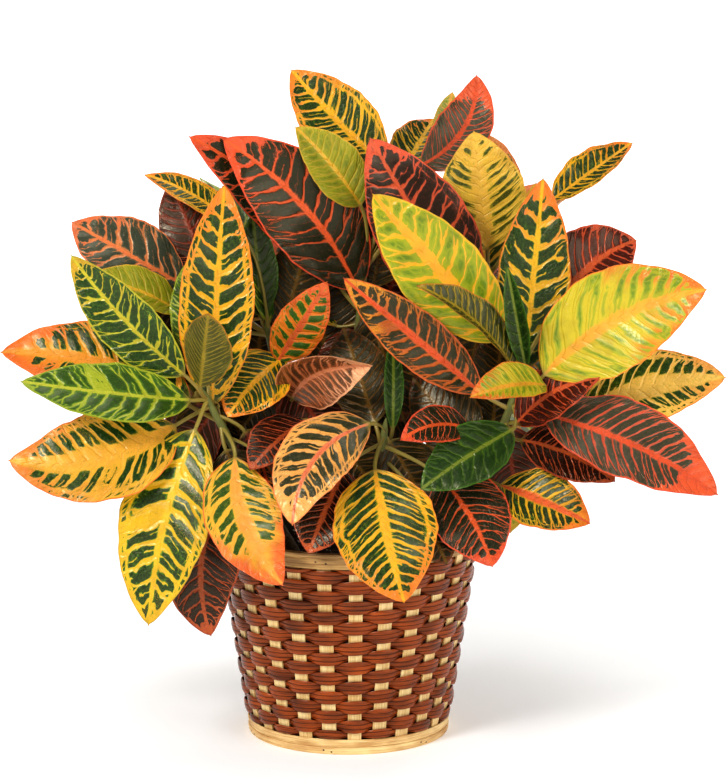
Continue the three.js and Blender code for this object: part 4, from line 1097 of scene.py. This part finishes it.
def stem_net(name):
    """A stem as five lines along it, to keep the leaves of other stems off it."""
    points, edges = [], []
    share = np.arange(NET_STEPS + 1) / NET_STEPS
    radius = STEM_ROOT_RADIUS + (STEM_TIP_RADIUS - STEM_ROOT_RADIUS) * share + LEAF_CLEAR
    for dx, dy in ((0, 0), (1, 0), (-1, 0), (0, 1), (0, -1)):
        first = len(points) * (NET_STEPS + 1)
        edges += [(first + i, first + i + 1) for i in range(NET_STEPS)]
        points.append(stem_point(name, share) + np.outer(radius, [dx, dy, 0]))
    points = np.concatenate(points)
    return finished_net(points, np.zeros_like(points), np.zeros((0, 3), int), edges, 0)


def pierces(lines, corners):
    """True if any of the lines goes through any of the triangles."""
    if not len(corners):
        return False
    start, end = (ends[:, None] for ends in lines)
    a, b, c = (corners[None, :, k] for k in range(3))
    way, ab, ac, offset = end - start, b - a, c - a, start - a
    across = np.cross(way, ac)
    facing = (ab * across).sum(-1)
    real = np.abs(facing) >= 1e-9
    facing = np.where(real, facing, 1)
    u = (offset * across).sum(-1) / facing
    turn = np.cross(offset, ab)
    v = (way * turn).sum(-1) / facing
    reach = (ac * turn).sum(-1) / facing
    inside = (u >= 0) & (u <= 1) & (v >= 0) & (u + v <= 1) & (reach >= 0) & (reach <= 1)
    return bool(np.any(real & inside))


def nets_cross(one, two):
    """True if a line of either goes through a triangle of the other."""
    apart = np.any(one["box"][0] > two["box"][1]) or np.any(two["box"][0] > one["box"][1])
    return not apart and (pierces(one["lines"], two["corners"]) or pierces(two["lines"], one["corners"]))


stem_nets = {name: stem_net(name) for name in STEM_FEET}
placed = []


def is_clear(leaf):
    """True if a leaf crosses no other stem, no leaf placed before it and not the basket.

    Leaves of one stem may cross near it, where their stalks crowd.
    """
    whole, outer = leaf_net(leaf, 0), leaf_net(leaf, 2)
    x, y, z = whole["points"].T
    wall = FOOT_RADIUS + WALL_SLOPE * z + HOOP_THICK + RIM_CLEAR
    if np.any((z < BASKET_HEIGHT + RIM_CLEAR) & (np.hypot(x, y) < wall)):
        return False
    if any(name != leaf["stem"] and nets_cross(net, whole) for name, net in stem_nets.items()):
        return False
    for other in placed:
        same = other["stem"] == leaf["stem"]
        if nets_cross(outer, other["outer"]) if same else nets_cross(whole, other["whole"]):
            return False
    return True


def place_leaf(leaf, shifts):
    """Tries a leaf at small shifts of its tip until it is clear, or leaves it out."""
    for shift in shifts:
        moved = {**leaf, "tip": leaf["tip"] + shift, "base": leaf["base"] + shift * BASE_SHARE}
        if is_clear(moved):
            placed.append({**moved, "whole": leaf_net(moved, 0), "outer": leaf_net(moved, 2)})
            return


view_ray = np.array([0, math.cos(VIEW_TILT), -math.sin(VIEW_TILT)])
depth_shifts = [view_ray * 0] + [view_ray * d * sign for d in range(8, 57, 8) for sign in (1, -1)]
for stem, start, end, width, face, arch, bow, fold, kind, *plain in SEEN_LEAVES:
    tip = seen(*end)
    crown_depth = STEM_BENDS[stem][1][1]
    leaf = {
        "stem": stem,
        "base": seen(*start, crown_depth + (tip[1] - crown_depth) * BASE_SHARE),
        "tip": tip,
        "width": width,
        "face": np.array(face),
        "arch": arch,
        "bow": bow,
        "fold": fold,
        "stations": FEW_STATIONS if plain or width < SMALL_LEAF else MANY_STATIONS,
        "kind": kind,
    }
    place_leaf({**leaf, "stalk": stalk_point(leaf)}, depth_shifts)

free_shifts = [np.zeros(3)]
for reach in (12, 24, 36):
    for i in range(SHIFT_WAYS):
        turn = i / SHIFT_WAYS * math.tau
        free_shifts.append(reach * np.array([math.cos(turn), math.sin(turn), 0.6 * math.sin(2 * turn + 1)]))
serial = 0
for stem, count, start, end in OTHER_LEAVES:
    for i in range(count):
        serial += 1
        place_leaf(other_leaf(stem, i, count, start, end, serial), free_shifts)

# -- The shape of each leaf --
FINE_ROWS = 74
FEW_ROWS = 42
HALF_COLUMNS = 9
STALK_ROWS = 7
STALK_THICK = 1.15
STALK_FLARE = 0.35  # how much thicker it is where it leaves the stem
STALK_FADE = 34  # how soon the round of the stalk is lost in the blade
BLADE_HALF_THICK = 0.38
EDGE_HALF_THICK = 0.08
RIB_ABOVE = 0.25
RIB_ABOVE_HALF = 0.9
RIB_BELOW = 1.1
RIB_BELOW_HALF = 1.3
QUILTING = 0.3  # between side veins the blade swells up, and dips along each of them
RIPPLE = 0.94  # wave of the edge, on a leaf as wide as the next number
WIDE_LEAF = 56
EDGE_DROP = 0.035  # of the half width
VEIN_SLANT = 0.45
VEIN_CURVE = 0.3


def leaf_body(leaf, number):
    """Rings of points along a leaf's stalk and blade, and what its finish reads at each point."""
    chance = [scatter(number, k) for k in range(11, 16)]
    codes, count, vein, central, patch, soft, bare, broken, plain_tip = LEAF_KINDS[leaf["kind"]]
    tone = 0.9 + 0.2 * chance[4]
    length = np.linalg.norm(leaf["tip"] - leaf["base"])
    rows = FEW_ROWS if leaf["stations"] is FEW_STATIONS else FINE_ROWS

    # Along it, t goes from 0 at the base to 1 at the tip, with the rows closer at both ends. Across it, v
    # goes from -1 at one edge to 1 at the other, with the columns closer at the midrib.
    even = np.linspace(0, 1, rows)
    t = 0.6 * even + 0.2 * (1 - np.cos(even * math.pi))
    centre, side, normal = (frame_part[:, None] for frame_part in leaf_frame(leaf, t))
    column = np.arange(-HALF_COLUMNS, HALF_COLUMNS + 1) / HALF_COLUMNS
    v = (np.sign(column) * np.abs(column) ** 1.5)[None]
    away = np.abs(v)
    t = t[:, None]
    hand = np.where(v < 0, 0, 1)

    # The outline, a little uneven on each half.
    half = half_width(leaf, t) * np.clip((1 - t) / 0.02, 0.4, 1)
    grown_in = np.clip(t * 12, 0, 1) * np.clip((1 - t) * 12, 0, 1)
    uneven = 0.014 * np.sin(math.tau * (t * 4.3 + chance[0] + hand * 0.37))
    uneven += 0.008 * np.sin(math.tau * (t * 9.7 + chance[1] + hand * 0.61))
    half = half * (1 + uneven * grown_in)

    # How far the blade lifts off its flat: folded at the midrib, waved at the edge, quilted between veins.
    fold = math.radians(leaf["fold"])
    trough = (np.sqrt(away**2 + 0.04) - 0.2) / (math.sqrt(1.04) - 0.2)
    phase = (t - (VEIN_SLANT * away + VEIN_CURVE * away**2) * half / length) * count + 0.3 * hand
    lift = half * math.sin(fold) * trough
    waves = np.sin(math.tau * (t * (2.2 + 1.6 * chance[2]) + chance[3] + 0.3 * hand))
    lift += grown_in * RIPPLE * leaf["width"] / WIDE_LEAF * away**2 * waves
    quilt = (1 - np.exp(-((away * half / 4) ** 2))) * (1 - away**4)
    lift -= QUILTING * np.cos(phase * math.tau) * quilt
    lift -= EDGE_DROP * half * away**4 * grown_in
    middle = centre + side * (v * half * math.cos(fold))[..., None] + normal * lift[..., None]

    # How thick it is above and below that, round at the stalk and ridged along the midrib.
    off = away * half
    root = np.exp(-t * STALK_FADE)
    round_part = root * STALK_THICK * np.sqrt(1 - away**2)
    sheet = (1 - root) * (BLADE_HALF_THICK * (1 - away**6)) + EDGE_HALF_THICK
    ridge_above = RIB_ABOVE * (1 - 0.7 * t) * np.exp(-((off / RIB_ABOVE_HALF) ** 2))
    ridge_below = RIB_BELOW * (1 - 0.85 * t) * np.exp(-((off / RIB_BELOW_HALF) ** 2))
    top = round_part + sheet + (1 - root) * ridge_above
    bottom = round_part + sheet + (1 - root) * ridge_below
    blade = [middle + normal * top[..., None], middle - normal * bottom[..., None]]

    # The stalk, bent from its place on the stem into the midrib.
    share = (np.arange(STALK_ROWS) / STALK_ROWS)[:, None, None]
    foot, base = leaf["stalk"], leaf["base"]
    lean = base - np.cross(normal[0, 0], side[0, 0]) * np.linalg.norm(base - foot) * 0.33
    line = foot * (1 - share) ** 2 + lean * 2 * share * (1 - share) + base * share**2
    flare = 1 + STALK_FLARE * (1 - share) ** 4
    wide = side[:1] * v[..., None] * PETIOLE_HALF * flare
    deep = normal[:1] * np.sqrt(1 - v**2)[..., None] * STALK_THICK * flare
    edge = normal[:1] * EDGE_HALF_THICK
    stalk = [line + wide + deep + edge, line + wide - deep - edge]
    rings = [np.concatenate([stalk[k], blade[k]]) for k in (0, 1)]
    rings = np.concatenate([rings[0], rings[1][:, ::-1]], axis=1)

    def both(values, stalk_value):
        """Values on the blade, with one value on the stalk, for the top and the underside."""
        values = np.broadcast_to(values, t.shape[:1] + v.shape[1:])
        values = np.concatenate([np.full((STALK_ROWS, v.shape[1]), float(stalk_value)), values])
        return np.concatenate([values, values[:, ::-1]], axis=1)

    under = np.concatenate([both(0, 0)[:, : v.shape[1]], both(1, 1)[:, : v.shape[1]]], axis=1)
    flat = np.ones_like(under)
    return rings, {
        "blade": np.stack([both(t, 0), both(v, 0), both(half, PETIOLE_HALF)], axis=-1),
        "veins": np.stack([both(phase, 0), flat * vein, flat * patch], axis=-1),
        "facts": np.stack([flat * number, under, both(np.clip(1 - t * 22, 0, 1), 1)], axis=-1),
        "form": np.stack([flat * central, flat * soft, flat * length], axis=-1),
        "habit": np.stack([flat * bare, flat * broken, flat * plain_tip], axis=-1),
        **{
            name: flat[..., None] * (np.array(paint(code)) * [tone, tone, tone, 1])
            for name, code in zip(LEAF_COLOURS, codes.split())
        },
    }


# -- The finish of the leaves --
WAXY_SHINE = (1, 0.88, 0.66, 1)
leather, leaf_tree = new_finish("croton_leaf")


def held(name, output="Vector"):
    return step(leaf_tree, "ShaderNodeAttribute", output=output, attribute_name=name)


along, across, half = split(leaf_tree, held("blade"))
phase, vein, patch = split(leaf_tree, held("veins"))
seed, under, stalk = split(leaf_tree, held("facts"))
central, soft, length = split(leaf_tree, held("form"))
bare, broken, plain_tip = split(leaf_tree, held("habit"))
vein_colour, tip_colour, turn_colour, panel_colour, edge_colour, rib_colour = (
    held(name, "Color") for name in LEAF_COLOURS
)
away = across.math("ABSOLUTE")
hand = across.math("SIGN")
pattern_place = joined(leaf_tree, phase, across * 2.4, seed * 3.7)
leaf_place = joined(leaf_tree, along * length, across * half, seed * 5.3)
sway = noise(leaf_tree, pattern_place, 0.9, 2) - 0.5
ragged = noise(leaf_tree, pattern_place, 3.6, 3, 0.65) - 0.5
mottle = noise(leaf_tree, leaf_place, 0.35, 4, 0.6)
cloud = noise(leaf_tree, leaf_place, 0.06, 2)


def dice(number, salt):
    """Three chances for each numbered vein or panel on each half of a leaf."""
    place = joined(leaf_tree, number, hand * 3.3 + salt, seed)
    return split(leaf_tree, step(leaf_tree, "ShaderNodeTexWhiteNoise", [place], output="Color"))


def cell_edges(place, scale):
    inputs = {"Vector": place, "Scale": scale}
    made = step(leaf_tree, "ShaderNodeTexVoronoi", inputs, output="Distance", feature="DISTANCE_TO_EDGE")
    return Term(leaf_tree, made)


# Side veins are wide at the midrib and thin outwards. Some stop short and most fork near the margin.
bent = phase + sway * 0.9
awake = along.eased(bare - 0.3, bare + 0.02)
vein_number = (bent + 0.5).math("FLOOR")
run, forking, heft = dice(vein_number, 0)
fork = (away - forking * 0.35 - 0.4).math("MAXIMUM", 0.0) * 0.75
from_vein = ((bent - vein_number).math("ABSOLUTE") - fork).math("ABSOLUTE")
vein_half = vein * (heft * 0.5 + 0.3) * (1.3 - away * 0.85) * (awake * 0.7 + 0.3)
main = (from_vein - vein_half) * 4.0 + (away - run * 0.7 - 0.6).eased(0.0, 0.12)

# Between two of them, short ones run out from the midrib or in from the margin.
panel_number = bent.math("FLOOR")
short, inward, gone = dice(panel_number, 9)
from_middle = ((bent - panel_number - 0.5).math("ABSOLUTE") - vein * 0.12 * awake) * 4.0
outer = from_middle + (away - short * 1.2 + 0.6).eased(0.0, 0.12)
inner = from_middle + (1.25 - away - inward * 0.75).eased(0.0, 0.12)

# Towards the margin a net of veins breaks the panels into islands, and one vein loops along inside it.
net_place = joined(leaf_tree, bent * 1.3, across * 3.4, seed * 2.9)
breaking = broken * (away - 0.5).math("MAXIMUM", 0.0) * 0.55
islands = (cell_edges(net_place, 1.0) + 0.12 - breaking) * 4.0
looping = (away - 0.8 - sway * 0.2).math("ABSOLUTE") * 6.0 + 0.3 - broken * 0.55

# The field is below 0 on anything that has the veins' colour and above it on the panels.
midrib = (central * (gone * 0.5 + 0.7)).math("MAXIMUM", half**-1 * 1.1)
beside = (away - midrib) * 4.5
margin = ((1 - away) * half - 0.8 - run * vein * half * 0.2) * 0.35
field = main
for part, blend in (
    (outer, 0.15),
    (inner, 0.15),
    (islands, 0.15),
    (looping, 0.1),
    (beside, 0.25),
    (margin, 0.2),
):
    field = field.math("SMOOTH_MIN", part, blend)
missing = ((patch * (along + 0.45)) - gone).eased(0.0, 0.06) * awake
plain = (along + away * 0.1 + sway * 0.2 + plain_tip).eased(0.97, 1.07)
field = field - missing * 1.6 - plain * 1.6 + ragged * 0.55
turning = field.eased(-0.05, 0.09)
deep = (field - soft * 0.35).math("DIVIDE", soft + 0.08).eased(0.0, 1.0)

tipward = (along * 0.95 + away * 0.3 + sway * 0.6).eased(0.62, 1.1)
bright = mixed(leaf_tree, tipward, vein_colour, tip_colour)
bright = mixed(leaf_tree, (1 - awake) * 0.5, bright, turn_colour)
on_rib = 1 - (away - midrib * 0.5).eased(0.0, midrib * 0.7 + 0.03)
bright = mixed(leaf_tree, on_rib, bright, rib_colour)
bright = mixed(leaf_tree, (mottle - cloud * 0.4).eased(0.3, 0.5) * 0.2, bright, turn_colour)
colour = mixed(leaf_tree, turning, bright, turn_colour)
colour = mixed(leaf_tree, deep, colour, panel_colour)
colour = mixed(leaf_tree, mottle.eased(0.5, 0.75) * turning * 0.6, colour, turn_colour)
threads = 1 - cell_edges(leaf_place, 0.42).eased(0.0, 0.09)
colour = mixed(leaf_tree, threads * 0.22, colour, turn_colour)
colour = mixed(leaf_tree, cloud.eased(0.42, 0.7) * 0.2, colour, paint("1a1c08"))
rim_line = 1 - ((1 - away) * half).eased(0.45, 1.25)
colour = mixed(leaf_tree, rim_line * 0.85, colour, edge_colour)
colour = mixed(leaf_tree, under * 0.25, colour, paint("6a6428"))
stalk_colour = mixed(leaf_tree, mottle, paint("7c8438"), paint("946834"))
colour = mixed(leaf_tree, stalk, colour, stalk_colour)
sunk = from_vein.eased(0.0, 0.16)
rough = mottle * 0.16 + under * 0.25 + 0.16
relief = sunk + mottle * 0.22 + ragged * 0.25 - threads * 0.12
surface(leaf_tree, colour, rough, relief, 0.35, Specular_IOR_Level=0.42, Specular_Tint=WAXY_SHINE)

for stem in STEM_FEET:
    points, faces, values = [], [], {}
    for number, leaf in enumerate(placed):
        if leaf["stem"] != stem:
            continue
        rings, read = leaf_body(leaf, number)
        first = sum(len(part) for part in points)
        leaf_points, leaf_faces = lofted(rings, first)
        points.append(leaf_points)
        faces += leaf_faces
        for name, value in read.items():
            values.setdefault(name, []).append(value.reshape(-1, value.shape[-1]))
    leaves = new_piece("leaves_" + stem, np.concatenate(points), faces, leather)
    for name, value in values.items():
        kind = "FLOAT_COLOR" if name in LEAF_COLOURS else "FLOAT_VECTOR"
        set_values(leaves, name, kind, np.concatenate(value))
    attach(leaves, "root")
    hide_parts("croton_stem_" + stem)

# ==== Room ====
# A wide pale floor that curves up far off on every side, soft studio light from both sides, from above and
# from behind, and a camera that looks a little down from straight in front, a long way off.
FLOOR_FLAT = 9  # metres, as the floor's other sizes are
FLOOR_ROUND = 3
FLOOR_THICK = 0.02
FLOOR_STEPS = 12
SKY_STRENGTH = 0.32
LIGHTS_AIM = Vector((0, 0, 0.25))
SENSOR = 36
VIEW_TALL = 586.5  # what the picture's height takes in at the middle of the plant

edge = FLOOR_FLAT + FLOOR_ROUND
floor_profile = [(0, -FLOOR_THICK), (edge + FLOOR_THICK, -FLOOR_THICK), (edge + FLOOR_THICK, FLOOR_ROUND)]
for i in range(FLOOR_STEPS, -1, -1):
    turn = i / FLOOR_STEPS * math.pi / 2
    floor_profile.append((FLOOR_FLAT + FLOOR_ROUND * math.sin(turn), FLOOR_ROUND * (1 - math.cos(turn))))
floor_profile.append((0, 0))
floor_points, floor_faces = turned(floor_profile, FINE_SIDES)
paper, paper_tree = new_finish("white_paper")
paper_place = step(paper_tree, "ShaderNodeTexCoord", output="Object")
tooth = noise(paper_tree, paper_place, 500, 2)
paper_colour = mixed(paper_tree, tooth, paint("f4f4f3"), paint("f8f8f7"))
from_plant = step(paper_tree, "ShaderNodeVectorMath", [paper_place], output="Value", operation="LENGTH")
# The paper glows, faintly near the plant and more far off: painted light that keeps the floor white where the
# lamps' light falls away, and that also lights the plant from below.
glow = {
    "Emission_Color": paint("ffffff"),
    "Emission_Strength": Term(paper_tree, from_plant).eased(0.2, 2.4) * 0.52 + 0.13,
}
surface(paper_tree, paper_colour, 0.9, tooth, 0.02, **glow)
floor = new_piece("floor", np.array(floor_points) / MM, floor_faces, paper)

sky = bpy.data.worlds.new("studio")
sky.use_nodes = True
sky.node_tree.nodes["Background"].inputs["Color"].default_value = (1, 1, 1, 1)
sky.node_tree.nodes["Background"].inputs["Strength"].default_value = SKY_STRENGTH
bpy.context.scene.world = sky

# Each light, with where it stands and how wide it is in metres, and its power in watts.
for name, place, size, power in (
    ("key_light", (-1.3, -1.9, 1.9), 0.9, 47),
    ("fill_light", (1.7, -1.6, 1.1), 1.5, 17),
    ("top_light", (0.1, 0.3, 2.2), 1.2, 11),
    ("back_light", (0.9, 2.1, 1.5), 1.6, 15),
):
    lamp = bpy.data.lights.new(name, "AREA")
    lamp.shape = "DISK"
    lamp.size = size
    lamp.energy = power
    lit = bpy.data.objects.new(name, lamp)
    lit.location = place
    lit.rotation_euler = (LIGHTS_AIM - Vector(place)).to_track_quat("-Z", "Y").to_euler()
    bpy.context.scene.collection.objects.link(lit)

camera = bpy.data.cameras.new("camera")
camera.sensor_width = SENSOR
camera.lens = SENSOR * VIEW_DISTANCE / VIEW_TALL
camera.clip_end = 100
camera_object = bpy.data.objects.new("camera", camera)
camera_object.location = view_eye() * MM
camera_object.rotation_euler = (math.pi / 2 - VIEW_TILT, 0, 0)
bpy.context.scene.collection.objects.link(camera_object)
bpy.context.scene.camera = camera_object
bpy.context.scene.view_settings.view_transform = "Standard"
bpy.context.scene.view_settings.look = "Medium High Contrast"
